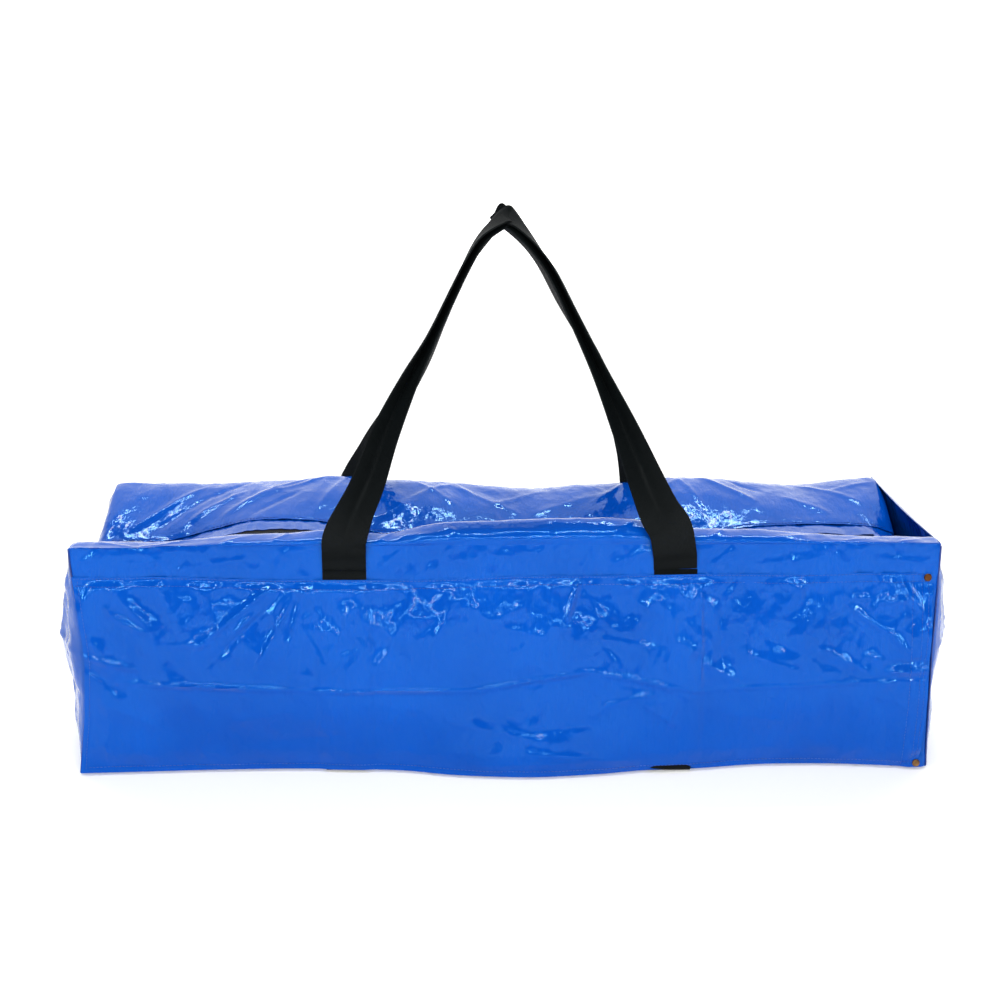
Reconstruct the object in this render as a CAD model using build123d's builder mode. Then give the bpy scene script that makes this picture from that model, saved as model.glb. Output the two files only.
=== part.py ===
"""Carry bag for a dog-agility tunnel kit: a box-shaped bag of coated PVC sheet with a zipped top,
two webbing handles whose webbing runs on under the belly, and a flat pocket along the front.

Frame: +X along the bag, +Y from front to back, +Z up, millimetres.
The origin is at the middle of the overall box, on the floor that the belly webbing rests on.
"""

import os
from math import asin, atan2, cos, hypot, radians, sin

from build123d import *

# ---------------------------------------------------------------- driving dimensions
LENGTH = 1000.0        # bag, between the two end seams
DEPTH = 320.0          # bag, between the outer faces of front and back walls
HEIGHT = 280.0         # floor to the two top ridges
SHEET = 0.6            # coated PVC sheet
END_BULGE = 25.0       # how far each end panel bellies out
END_SLOPE = 85.0       # run of the bellied border of an end panel

WEB_WIDTH = 50.0       # handle and belly webbing
WEB_THICK = 2.0
HANDLE_SPREAD = 378.0  # between the middles of a handle's two legs
HANDLE_TOP = 652.0     # floor to the top of a raised handle
FOLD_WIDTH = 22.0      # webbing folded in half lengthwise at the top of the handle
FOLD_THICK = 4.6
# how far the webbing has folded, in width and in thickness, at shares of a leg's length
FOLDING = ((0.3, 0.4, 0.2), (0.62, 0.75, 0.7), (0.86, 0.95, 1.0))

SEAM_DROP = 36.0       # the pocket's top seam lies this far below the ridges
POCKET_END_GAP = 7.0   # pocket's open end to the end seam
POCKET_ROOM = 8.0      # room between front wall and pocket panel
HEM = 12.0             # flat sewn border of the pocket
POCKET_SLOPE = 15.0    # run from the sewn border to the pocket's flat
MOUTH_WIDTH = 152.0    # part of the pocket that gapes at its open end

STRIP_WIDTH = 18.0     # hook-and-loop strips in the pocket's mouth
STRIP_THICK = 1.2
STRIP_INSET = 8.0      # strip's edge to the pocket's open end

ZIP_DROP = 41.0        # the zip lies this far below the ridges
ZIP_STRIP_OUTER = 52.0  # half widths, from the middle of the zip
ZIP_STRIP_INNER = 12.0
PANEL_LAP = 44.0       # the top panel's edge is sewn onto the zip strip here
TAPE_OUTER = 22.0
TAPE_THICK = 0.8
COIL_WIDTH = 3.2
COIL_HEIGHT = 2.6
COIL_GAP = 3.2         # between the two coils of the open zip
CHAIN_END_GAP = 22.0   # outer end of the zip to the end seam
CHAIN_LENGTH = 48.0    # fixed end of the zip, where the slider rests
TAB_LAP = 16.0         # the end tab covers this much of the fixed end

SLIDER_LENGTH = 20.0
SLIDER_REST = 16.0     # slider's middle from the opening part of the zip
SLIDER_WALL = 1.1
SLIDER_CLEAR = 0.4     # to the tape, above and below
COIL_CLEAR = 0.2       # to the coil, above and below
BRIDGE_WIDTH = 2.4
BRIDGE_LENGTH = 12.0
BRIDGE_RISE = 3.6
BRIDGE_WALL = 1.3
PULL_WIDTH = 8.0
PULL_LENGTH = 36.0
PULL_THICK = 1.4
PIN_RADIUS = 0.7

RIVET_RADIUS = 4.6
RIVET_RISE = 1.9
POST_RADIUS = 1.5
POST_CLEAR = 0.05
RIVET_INSET = 6.0      # rivet's middle from the pocket's edges
BURR_THICK = 1.2

HINGE_GAP = 0.5        # between pieces that turn against each other
JOIN_GAP = 0.3

# ---------------------------------------------------------------- places worked out from them
SEAM_HEIGHT = HEIGHT - SEAM_DROP                # floor to the pocket's top seam
POCKET_STAND = POCKET_ROOM + SHEET
MID_Y = (POCKET_STAND - WEB_THICK - JOIN_GAP) / 2  # so that the overall box is centred
FRONT_FACE = MID_Y - DEPTH / 2
BACK_FACE = MID_Y + DEPTH / 2
FLOOR = WEB_THICK                               # underside of the bottom sheet
INNER_FLOOR = FLOOR + SHEET
HALF = LENGTH / 2
STRAP_X = HANDLE_SPREAD / 2
POCKET_RIGHT = HALF - POCKET_END_GAP            # the pocket's open end
CHAIN_END = HALF - CHAIN_END_GAP
TAB_INNER = CHAIN_END - TAB_LAP
ZIP_HALF = CHAIN_END - CHAIN_LENGTH             # half length of the part that opens
ZIP_STRIP_HALF = TAB_INNER - 8 * HINGE_GAP
SLIDER_PARK = -(ZIP_HALF + SLIDER_REST)         # middle of the slider, at the zip's left end
RIDGE_AXIS_Z = HEIGHT - SHEET / 2
WALL_TOP = HEIGHT - SHEET - HINGE_GAP
ZIP_Z = HEIGHT - ZIP_DROP                       # top face of the zip strips
TAPE_TOP = ZIP_Z - SHEET
TAPE_MID = TAPE_TOP - TAPE_THICK / 2
TAB_LOW = TAPE_MID + COIL_HEIGHT / 2
TAB_OUTER = HALF + END_BULGE * (HEIGHT - TAB_LOW - SHEET) / END_SLOPE - SHEET  # meets the end panel
COIL_INNER = COIL_GAP / 2
COIL_OUTER = COIL_INNER + COIL_WIDTH
POCKET_LOW = FLOOR + 1.0
POCKET_MID = (POCKET_LOW + SEAM_HEIGHT) / 2
PLATEAU_LOW = POCKET_LOW + HEM + POCKET_SLOPE
PLATEAU_TOP = SEAM_HEIGHT - HEM - POCKET_SLOPE
MOUTH_X = POCKET_RIGHT - MOUTH_WIDTH
STRAP_STUB_TOP = SEAM_HEIGHT + 6.0              # the webbing is held this far by its seam
HANDLE_FOOT = STRAP_STUB_TOP + JOIN_GAP
RIDGE_BEND = HEIGHT + 6.0                       # the handle bends inwards here
SLIDER_INNER = COIL_HEIGHT / 2 + COIL_CLEAR
SLIDER_OUTER = SLIDER_INNER + SLIDER_WALL
PIN_Z = TAPE_MID + SLIDER_OUTER + (BRIDGE_RISE - BRIDGE_WALL) / 2
RIVET_PLACES = [
    (POCKET_RIGHT - RIVET_INSET, SEAM_HEIGHT - RIVET_INSET),
    (POCKET_RIGHT - RIVET_INSET, POCKET_LOW + RIVET_INSET),
]

SIDES = {"front": -1, "back": 1}
ENDS = {"left": -1, "right": 1}


def save(part, name):
    """Labels a finished piece and writes its own STEP file."""
    part.label = name
    export_step(part, f"parts/{name}.step")


def wall_plane(side):
    """Plane on the outer face of the front (-1) or back (1) wall, local y up, normal outwards."""
    face = FRONT_FACE if side < 0 else BACK_FACE
    return Plane(origin=(0, face, 0), x_dir=(-side, 0, 0), z_dir=(0, side, 0))


def across(y_inner, y_outer, side):
    """Middle and width in Y of a stretch given by its distances from the zip's middle line."""
    return MID_Y + side * (y_inner + y_outer) / 2, y_outer - y_inner


# ---------------------------------------------------------------- sheets of the box
def make_wall(side):
    with BuildPart() as wall:
        with BuildSketch(wall_plane(side)):
            with Locations((0, (INNER_FLOOR + WALL_TOP) / 2)):
                Rectangle(LENGTH, WALL_TOP - INNER_FLOOR)
            if side < 0:
                with Locations(*RIVET_PLACES):
                    Circle(POST_RADIUS + POST_CLEAR, mode=Mode.SUBTRACT)
        extrude(amount=-SHEET)
    return wall.part


def make_bottom():
    with BuildPart() as bottom:
        with BuildSketch(Plane.XY.offset(FLOOR)):
            with Locations((0, MID_Y)):
                Rectangle(LENGTH, DEPTH)
        extrude(amount=SHEET)
    return bottom.part


def make_dish(plane, foot, crown, foot_at, crown_at, rise):
    """A sheet that rises from a foot rectangle on the plane to a smaller crown."""
    with BuildPart() as dish:
        for drop, mode in ((0, Mode.ADD), (SHEET, Mode.SUBTRACT)):
            with BuildSketch(plane.offset(-drop)):
                with Locations(foot_at):
                    Rectangle(*foot)
            with BuildSketch(plane.offset(rise - drop)):
                with Locations(crown_at):
                    Rectangle(*crown)
            loft(mode=mode)
    return dish.part


def make_end_panel(end):
    tall = HEIGHT - FLOOR
    middle = (0, FLOOR + tall / 2)
    plane = Plane(origin=(end * HALF, MID_Y, 0), x_dir=(0, end, 0), z_dir=(end, 0, 0))
    crown = (DEPTH - 2 * END_SLOPE, tall - 2 * END_SLOPE)
    return make_dish(plane, (DEPTH, tall), crown, middle, middle, END_BULGE)


# ---------------------------------------------------------------- pocket along the front
def make_pocket_panel():
    plane = wall_plane(-1)
    tall = SEAM_HEIGHT - POCKET_LOW
    beyond = POCKET_RIGHT + 2 * POCKET_SLOPE    # the dish runs past the open end, then is cut there
    foot_left = -HALF + HEM
    crown_left = foot_left + POCKET_SLOPE
    with BuildPart() as panel:
        with BuildSketch(plane):
            with Locations(((POCKET_RIGHT - HALF) / 2, POCKET_MID)):
                Rectangle(POCKET_RIGHT + HALF, tall)
        extrude(amount=SHEET)
        with BuildSketch(plane):                # raised runs over the webbing, top and bottom
            with GridLocations(HANDLE_SPREAD, tall - HEM, 2, 2):
                with Locations((0, POCKET_MID)):
                    Rectangle(WEB_WIDTH + 2 * SHEET + 2 * JOIN_GAP, HEM)
        extrude(amount=WEB_THICK + SHEET)
        add(
            make_dish(
                plane,
                (beyond - foot_left, tall - 2 * HEM),
                (beyond - crown_left, tall - 2 * (HEM + POCKET_SLOPE)),
                ((beyond + foot_left) / 2, POCKET_MID),
                ((beyond + crown_left) / 2, POCKET_MID),
                POCKET_STAND,
            )
        )
        with BuildSketch(plane):                # the webbing's way through
            with GridLocations(HANDLE_SPREAD, 1, 2, 1):
                with Locations((0, POCKET_MID)):
                    Rectangle(WEB_WIDTH + 2 * JOIN_GAP, tall + 2)
        extrude(amount=WEB_THICK, mode=Mode.SUBTRACT)
        with BuildSketch(plane):                # the open end
            with Locations((POCKET_RIGHT + LENGTH / 2, POCKET_MID)):
                Rectangle(LENGTH, tall + 2)
        extrude(amount=2 * POCKET_STAND, both=True, mode=Mode.SUBTRACT)
        with BuildSketch(plane):                # room for the gaping part of the mouth
            with Locations((MOUTH_X + LENGTH / 2, POCKET_MID)):
                Rectangle(LENGTH, PLATEAU_TOP - PLATEAU_LOW)
        extrude(amount=2 * POCKET_STAND, mode=Mode.SUBTRACT)
        with BuildSketch(plane):
            with Locations(*RIVET_PLACES):
                Circle(POST_RADIUS + POST_CLEAR)
        extrude(amount=2 * SHEET, mode=Mode.SUBTRACT)
    return panel.part


def make_mouth_flap():
    wide = MOUTH_WIDTH - HINGE_GAP
    tall = PLATEAU_TOP - PLATEAU_LOW - 2 * HINGE_GAP
    with BuildPart() as flap:
        with BuildSketch(wall_plane(-1).offset(POCKET_ROOM)):
            with Locations((POCKET_RIGHT - wide / 2, POCKET_MID)):
                Rectangle(wide, tall)
        extrude(amount=SHEET)
    return flap.part


def make_closing_strip(stand):
    """A hook or loop strip whose outer face stands this far off the front wall."""
    tall = PLATEAU_TOP - PLATEAU_LOW - 4 * HINGE_GAP
    with BuildPart() as strip:
        with BuildSketch(wall_plane(-1).offset(stand)):
            with Locations((POCKET_RIGHT - STRIP_INSET - STRIP_WIDTH / 2, POCKET_MID)):
                Rectangle(STRIP_WIDTH, tall)
        extrude(amount=-STRIP_THICK)
    return strip.part


def make_rivets():
    """Domed cap with its post, one at each corner of the pocket's mouth."""
    post_length = 2 * SHEET + BURR_THICK * 0.6
    with BuildPart() as rivets:
        for x, z in RIVET_PLACES:
            place = Plane(origin=(x, FRONT_FACE - SHEET, z), x_dir=(1, 0, 0), z_dir=(0, -1, 0))
            with BuildSketch(place):
                Circle(RIVET_RADIUS)
            cap = extrude(amount=RIVET_RISE)
            fillet(cap.faces().sort_by(Axis.Y)[0].edges(), RIVET_RISE * 0.7)
            with BuildSketch(place):
                Circle(POST_RADIUS)
            extrude(amount=-post_length)
    return rivets.part


def make_rivet_burrs():
    """Ring that the rivet's post is set into, inside the bag."""
    with BuildPart() as burrs:
        with BuildSketch(wall_plane(-1).offset(-SHEET)):
            with Locations(*RIVET_PLACES):
                Circle(RIVET_RADIUS)
                Circle(POST_RADIUS + POST_CLEAR, mode=Mode.SUBTRACT)
        extrude(amount=-BURR_THICK)
    return burrs.part


# ---------------------------------------------------------------- webbing
def make_belly_strap(end):
    """Webbing from one handle's foot, down the wall, under the bag and up to the other handle."""
    with BuildPart() as strap:
        with BuildSketch(Plane.YZ.offset(end * STRAP_X)):
            with Locations((MID_Y, STRAP_STUB_TOP / 2)):
                Rectangle(DEPTH + 2 * WEB_THICK, STRAP_STUB_TOP)
            with Locations((MID_Y, FLOOR + STRAP_STUB_TOP / 2)):
                Rectangle(DEPTH, STRAP_STUB_TOP, mode=Mode.SUBTRACT)
        extrude(amount=WEB_WIDTH / 2, both=True)
    return strap.part


def make_handle(side):
    """A raised handle: upright to the ridge, then leaning inwards and folded over at the top."""
    foot_y = MID_Y + side * (DEPTH / 2 + JOIN_GAP + WEB_THICK / 2)
    rise = HANDLE_TOP - FOLD_WIDTH / 2 - RIDGE_BEND
    # At its top the folded webbing, tilted as it is, stays clear of the other handle.
    top_y = MID_Y + side * (FOLD_THICK / 2 + FOLD_WIDTH / 2 * DEPTH / 2 / rise + JOIN_GAP)
    lean = atan2(foot_y - top_y, rise)          # of the handle's plane, from upright
    up = Vector(0, -sin(lean), cos(lean))       # up along that plane
    out = Vector(0, cos(lean), sin(lean))       # square to it
    turn = FOLD_WIDTH / 2 + 1.0                 # radius of the webbing's turn at the top
    centre = hypot(foot_y - top_y, rise) - turn
    # Each leg meets the turn at a tangent.
    splay = atan2(STRAP_X, centre) - asin(turn / hypot(STRAP_X, centre))
    tangent = (-turn * cos(splay), centre + turn * sin(splay))

    def station(across, height, angle):
        """Plane square to the webbing at a point of the handle's plane."""
        along = Vector(sin(angle), 0, 0) + up * cos(angle)
        at = Vector(across, foot_y, RIDGE_BEND) + up * height
        return Plane(origin=at, x_dir=along.cross(out), z_dir=along)

    upright = Plane(origin=(-STRAP_X, foot_y, HANDLE_FOOT))
    sections = [
        (upright, WEB_WIDTH, WEB_THICK),
        (upright.offset(RIDGE_BEND - HANDLE_FOOT), WEB_WIDTH, WEB_THICK),
    ]
    for share, fold_in_width, fold_in_thickness in FOLDING:
        across = -STRAP_X + share * (tangent[0] + STRAP_X)
        width = WEB_WIDTH + fold_in_width * (FOLD_WIDTH - WEB_WIDTH)
        thick = WEB_THICK + fold_in_thickness * (FOLD_THICK - WEB_THICK)
        sections.append((station(across, share * tangent[1], splay), width, thick))
    for share in (0.0, 0.5, 1.0):
        angle = splay + share * (radians(90) - splay)
        turned = station(-turn * cos(angle), centre + turn * sin(angle), angle)
        sections.append((turned, FOLD_WIDTH, FOLD_THICK))
    with BuildPart() as handle:
        for plane, width, thick in sections:
            with BuildSketch(plane):
                Rectangle(width, thick)
        loft(ruled=True)
        mirror(about=Plane.YZ)
    return handle.part


# ---------------------------------------------------------------- zipped top
def make_top_panel(side):
    """Sheet from a ridge down to the zip strip, which it laps."""
    ridge = (MID_Y + side * (DEPTH / 2 - SHEET / 2), RIDGE_AXIS_Z)
    lap = (MID_Y + side * PANEL_LAP, ZIP_Z + SHEET)
    run, fall = abs(ridge[0] - lap[0]), ridge[1] - lap[1]
    angle = atan2(fall, run)
    up = (-side * sin(angle) * SHEET / 2, cos(angle) * SHEET / 2)
    corners = [
        (ridge[0] + up[0], ridge[1] + up[1]),
        (lap[0] + up[0], lap[1] + up[1]),
        (lap[0] - up[0], lap[1] - up[1]),
        (ridge[0] - up[0], ridge[1] - up[1]),
    ]
    with BuildPart() as panel:
        with BuildSketch(Plane.YZ):
            with BuildLine():
                Polyline(*corners, close=True)
            make_face()
        extrude(amount=HALF - 2 * HINGE_GAP, both=True)
    return panel.part


def make_zip_strip(side):
    middle, width = across(ZIP_STRIP_INNER, ZIP_STRIP_OUTER, side)
    with BuildPart() as strip:
        with BuildSketch(Plane.XY.offset(TAPE_TOP)):
            with Locations((0, middle)):
                Rectangle(2 * ZIP_STRIP_HALF, width)
        extrude(amount=SHEET)
    return strip.part


def make_zip_tape(side):
    middle, width = across(COIL_OUTER, TAPE_OUTER, side)
    with BuildPart() as tape:
        with BuildSketch(Plane.XY.offset(TAPE_TOP)):
            with Locations((0, middle)):
                Rectangle(2 * ZIP_HALF, width)
        extrude(amount=-TAPE_THICK)
    return tape.part


def make_zip_coil(side):
    middle, width = across(COIL_INNER, COIL_OUTER, side)
    with BuildPart() as coil:
        with BuildSketch(Plane.XY.offset(TAPE_MID - COIL_HEIGHT / 2)):
            with Locations((0, middle)):
                Rectangle(2 * ZIP_HALF, width)
        extrude(amount=COIL_HEIGHT)
        fillet(coil.edges().filter_by(Axis.X).group_by(Axis.Y)[0 if side > 0 else -1], 0.8)
    return coil.part


def make_chain_end(end):
    """Short fixed chain at an end of the zip: tape and coil on each side, under the end tab."""
    start, stop = ZIP_HALF + HINGE_GAP, CHAIN_END
    middle_x = end * (start + stop) / 2
    with BuildPart() as chain:
        for side in SIDES.values():
            middle, width = across(COIL_OUTER, ZIP_STRIP_INNER - HINGE_GAP, side)
            with BuildSketch(Plane.XY.offset(TAPE_MID - TAPE_THICK / 2)):
                with Locations((middle_x, middle)):
                    Rectangle(stop - start, width)
            extrude(amount=TAPE_THICK)
            middle, width = across(COIL_INNER, COIL_OUTER, side)
            with BuildSketch(Plane.XY.offset(TAPE_MID - COIL_HEIGHT / 2)):
                with Locations((middle_x, middle)):
                    Rectangle(stop - start, width)
            extrude(amount=COIL_HEIGHT)
    return chain.part


def make_end_tab(end):
    """Piece of sheet sewn over the zip's end, from the end panel inwards."""
    with BuildPart() as tab:
        with BuildSketch(Plane.XY.offset(TAB_LOW)):
            with Locations((end * (TAB_INNER + TAB_OUTER) / 2, MID_Y)):
                Rectangle(TAB_OUTER - TAB_INNER, 2 * (PANEL_LAP - 2 * HINGE_GAP))
        extrude(amount=SHEET)
    return tab.part


def make_slider():
    """Slider body that straddles both coils, with its post and the bridge for the pull."""
    half_inner = COIL_OUTER + HINGE_GAP
    half_outer = half_inner + SLIDER_WALL
    with BuildPart() as slider:
        with BuildSketch(Plane.YZ.offset(SLIDER_PARK)):
            with Locations((MID_Y, TAPE_MID)):
                RectangleRounded(2 * half_outer, 2 * SLIDER_OUTER, SLIDER_WALL / 2)
                Rectangle(2 * half_inner, 2 * SLIDER_INNER, mode=Mode.SUBTRACT)
                Rectangle(3 * half_outer, TAPE_THICK + 2 * SLIDER_CLEAR, mode=Mode.SUBTRACT)
        extrude(amount=SLIDER_LENGTH / 2, both=True)
        # The post joins both wings, between the coils, at the end that leads when the zip closes.
        with BuildSketch(Plane.XY.offset(TAPE_MID)):
            with Locations((SLIDER_PARK + SLIDER_LENGTH / 2 - 3.0, MID_Y)):
                RectangleRounded(6.0, 2 * (COIL_INNER - HINGE_GAP), 0.8)
        extrude(amount=SLIDER_INNER, both=True)
        with BuildSketch(Plane.XZ.offset(-MID_Y)):
            with Locations((SLIDER_PARK, TAPE_MID + SLIDER_OUTER)):
                with Locations((0, BRIDGE_RISE / 2)):
                    RectangleRounded(BRIDGE_LENGTH, BRIDGE_RISE, BRIDGE_WALL)
                with Locations((0, BRIDGE_RISE / 4)):
                    Rectangle(BRIDGE_LENGTH, BRIDGE_RISE / 2)
                with Locations((0, (BRIDGE_RISE - BRIDGE_WALL) / 2)):
                    hole = BRIDGE_RISE - BRIDGE_WALL
                    Rectangle(BRIDGE_LENGTH - 5.0, hole, mode=Mode.SUBTRACT)
        extrude(amount=BRIDGE_WIDTH / 2, both=True)
    return slider.part


def make_pull():
    """Pull tab lying flat towards the bag's left end, with the pin that turns in the bridge."""
    gap = BRIDGE_WIDTH + 2 * HINGE_GAP
    with BuildPart() as pull:
        with BuildSketch(Plane.XY.offset(PIN_Z - PULL_THICK / 2)):
            with Locations((SLIDER_PARK - PULL_LENGTH / 2 + PIN_RADIUS, MID_Y)):
                RectangleRounded(PULL_LENGTH, PULL_WIDTH, PIN_RADIUS)
            with Locations((SLIDER_PARK - BRIDGE_LENGTH / 4, MID_Y)):
                Rectangle(BRIDGE_LENGTH, gap, mode=Mode.SUBTRACT)
            with Locations((SLIDER_PARK - PULL_LENGTH + 8.0, MID_Y)):
                SlotOverall(9.0, 3.6, mode=Mode.SUBTRACT)
        extrude(amount=PULL_THICK)
        with BuildSketch(Plane.XZ.offset(-MID_Y)):
            with Locations((SLIDER_PARK, PIN_Z)):
                Circle(PIN_RADIUS)
        extrude(amount=PULL_WIDTH / 2 - PIN_RADIUS, both=True)
    return pull.part


# ---------------------------------------------------------------- build everything
os.makedirs("parts", exist_ok=True)

save(make_bottom(), "bottom_panel")
for side_name, side in SIDES.items():
    save(make_wall(side), f"{side_name}_wall")
    save(make_top_panel(side), f"{side_name}_top_panel")
    save(make_zip_strip(side), f"{side_name}_zip_strip")
    save(make_zip_tape(side), f"{side_name}_zip_tape")
    save(make_zip_coil(side), f"{side_name}_zip_coil")
    save(make_handle(side), f"{side_name}_handle_webbing")
for end_name, end in ENDS.items():
    save(make_end_panel(end), f"{end_name}_end_panel")
    save(make_belly_strap(end), f"{end_name}_belly_strap")
    save(make_chain_end(end), f"{end_name}_zip_chain_end")
    save(make_end_tab(end), f"{end_name}_zip_end_tab")
save(make_slider(), "zip_slider")
save(make_pull(), "zip_pull")
save(make_pocket_panel(), "pocket_panel")
save(make_mouth_flap(), "pocket_mouth_flap")
save(make_closing_strip(POCKET_ROOM), "pocket_hook_strip")
save(make_closing_strip(STRIP_THICK), "pocket_loop_strip")
save(make_rivets(), "pocket_rivets")
save(make_rivet_burrs(), "pocket_rivet_burrs")
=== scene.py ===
# %% [markdown]
# # A glossy carry bag, in cells
# The bag is a long box of coated PVC sheet: a zipped top between two ridges, two webbing handles whose webbing
# runs on under the belly, and a flat pocket along the front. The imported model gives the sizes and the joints.
# Blender gives the looks, in the same frame: +X along the bag, +Y to its back, +Z up, metres.

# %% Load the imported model
import bisect
from math import atan2, cos, exp, hypot, pi, radians, sin, sqrt

import bmesh
import bpy
from mathutils import Matrix, Vector, noise


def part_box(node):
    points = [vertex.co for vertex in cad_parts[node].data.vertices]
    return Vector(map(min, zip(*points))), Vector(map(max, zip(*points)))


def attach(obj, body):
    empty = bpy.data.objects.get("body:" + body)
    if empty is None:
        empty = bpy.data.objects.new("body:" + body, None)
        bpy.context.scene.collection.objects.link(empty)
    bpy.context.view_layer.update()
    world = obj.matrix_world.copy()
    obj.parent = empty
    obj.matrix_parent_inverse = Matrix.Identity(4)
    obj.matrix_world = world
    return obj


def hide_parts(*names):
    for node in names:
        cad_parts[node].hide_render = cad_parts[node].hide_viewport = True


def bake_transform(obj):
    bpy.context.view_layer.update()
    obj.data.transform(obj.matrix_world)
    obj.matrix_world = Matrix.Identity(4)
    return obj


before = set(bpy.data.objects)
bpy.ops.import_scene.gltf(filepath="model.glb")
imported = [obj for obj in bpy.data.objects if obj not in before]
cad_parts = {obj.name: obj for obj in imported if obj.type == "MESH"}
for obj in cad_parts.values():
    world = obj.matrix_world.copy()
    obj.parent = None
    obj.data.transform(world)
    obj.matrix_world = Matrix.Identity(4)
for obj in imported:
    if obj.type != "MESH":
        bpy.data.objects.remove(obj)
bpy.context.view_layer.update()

MM = 0.001


def lowest_highest(node):
    low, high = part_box(node)
    return Vector(low), Vector(high)


# %% [markdown]
# ## Lines that several pieces share
# A sewn bag has no gaps because its panels share their seams. So the seams come first, as smooth lines through
# a few measured places: how high each ridge stands along the bag, how low the zip lies, where the foot of the
# front runs, and how far the end seams are pulled in. Every panel is then shaped between these lines.

# %% Smooth lines through measured places
def line_through(*places):
    """Smooth line through (where, value) pairs in millimetres, as a function from metres to metres."""
    xs = [p[0] * MM for p in places]
    ys = [p[1] * MM for p in places]
    slopes = []
    for i in range(len(xs)):
        a, b = max(i - 1, 0), min(i + 1, len(xs) - 1)
        slopes.append((ys[b] - ys[a]) / (xs[b] - xs[a]))

    def at(x):
        if x <= xs[0]:
            return ys[0]
        if x >= xs[-1]:
            return ys[-1]
        i = bisect.bisect_right(xs, x) - 1
        wide = xs[i + 1] - xs[i]
        t = (x - xs[i]) / wide
        a, b = 2 * t**3 - 3 * t**2 + 1, 3 * t**2 - 2 * t**3
        return (
            a * ys[i] + b * ys[i + 1]
            + wide * ((t**3 - 2 * t**2 + t) * slopes[i] + (t**3 - t**2) * slopes[i + 1])
        )

    return at


def mix(a, b, t):
    return a + (b - a) * t


def ease(t):
    t = min(1.0, max(0.0, t))
    return t * t * (3 - 2 * t)


front_ridge = line_through(
    (-500, 283), (-418, 283), (-384, 285), (-351, 287), (-317, 290), (-283, 292), (-249, 294), (-209, 296),
    (-135, 293), (-73, 305), (24, 308), (136, 309), (207, 298), (288, 296), (335, 292), (393, 288), (439, 287),
    (500, 286),
)
back_ridge = line_through(
    (-500, 281), (-419, 281), (-327, 281), (-275, 285), (-202, 290), (-150, 286), (-77, 282), (-24, 277),
    (29, 273), (82, 275), (161, 280), (230, 288), (268, 287), (348, 279), (402, 277), (456, 283), (500, 287),
)
zip_height = line_through(
    (-500, 238), (-446, 238.5), (-380, 241), (-300, 253), (-262, 254), (-225, 251), (-160, 241), (-100, 238),
    (0, 238), (200, 238), (320, 241), (365, 246), (400, 246), (430, 244), (446, 243.5), (470, 244.5), (500, 238),
)
back_lap = line_through(
    (-500, 231), (-416, 234), (-372, 245), (-316, 259), (-253, 260), (-216, 256), (-147, 242), (-60, 240),
    (100, 240), (250, 243), (330, 250), (400, 252), (470, 249), (500, 240),
)
front_lap = line_through((-500, 236), (-380, 240), (-280, 246), (-160, 240), (200, 241), (360, 243), (500, 239))
front_foot = line_through(
    (-500, -157), (-419, -153), (-338, -149), (-244, -148), (-126, -156), (-67, -171), (-9, -179), (37, -181),
    (108, -173), (165, -162), (222, -158), (303, -146), (387, -146), (443, -152), (470, -156), (500, -157),
)
end_seam_in = line_through((0, 0), (35, 4), (72, 9), (108, 12), (145, 13.5), (190, 9), (230, 4), (262, 1), (290, 0))
print("ridge over the middle", round(front_ridge(0.02), 4), "zip there", round(zip_height(0.02), 4))

# %% [markdown]
# ## The hand that shapes a sheet
# Coated sheet doesn't stretch, so it takes up slack in sharp folds with flat facets between them. A fold here is
# a ridge or a furrow along a short line that dies out at both ends. Slow waves of noise give the slack, and a
# finer crumple is strongest next to the seams, where the thread gathers the sheet.

# %% Folds, waves and crumple
def fold_at(a, b, folds):
    """Height of a list of folds at a place: each is (a0, b0, a1, b1, width, height) in millimetres."""
    total = 0.0
    for a0, b0, a1, b1, wide, high in folds:
        ax, bx = a0 * MM, b0 * MM
        da, db = a1 * MM - ax, b1 * MM - bx
        length2 = da * da + db * db
        t = ((a - ax) * da + (b - bx) * db) / length2
        if t < -0.15 or t > 1.15:
            continue
        d = hypot(a - ax - t * da, b - bx - t * db) / (wide * MM)
        if d > 4:
            continue
        fade = ease((t + 0.15) / 0.4) * ease((1.15 - t) / 0.4)
        total += high * MM * fade * exp(1.3 * (0.22 - sqrt(d * d + 0.05)))
    return total


def waves(a, b, seed, size=0.11, high=0.002):
    return high * noise.noise(Vector((a / size, b / size, seed)))


def crumple(a, b, seed, size=0.028, high=0.0011):
    """Flat facets with sharp ridges between them, as in stiff sheet."""
    warped = a + 0.4 * size * noise.noise(Vector((b / size, a / size, seed + 5)))
    n = noise.noise(Vector((warped / size, b / size * 0.62, seed)))
    m = noise.noise(Vector((warped / size * 2.3, b / size * 1.3, seed + 9)))
    return high * (0.6 - abs(n) * 1.7 + 0.5 * (0.4 - abs(m)))


# %% [markdown]
# ## From grid to panel
# Each panel starts as a flat grid, because a cut sheet is flat, and a function moves each corner of the grid to
# its place on the bag. The grid keeps the flat sheet's own measure as its UV map, which a weave or a stitch line
# can follow. Then the sheet gets its thickness inwards, and the hard rim is kept sharp for shading.

# %% A panel from a grid
def finish_mesh(name, bm, material=None):
    for face in bm.faces:
        face.smooth = True
    for edge in bm.edges:
        if len(edge.link_faces) == 2 and edge.calc_face_angle(0) > 1.0:
            edge.smooth = False
    mesh = bpy.data.meshes.new(name)
    bm.to_mesh(mesh)
    bm.free()
    piece = bpy.data.objects.new(name, mesh)
    bpy.context.collection.objects.link(piece)
    if material is not None:
        mesh.materials.append(material)
    return piece


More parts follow.
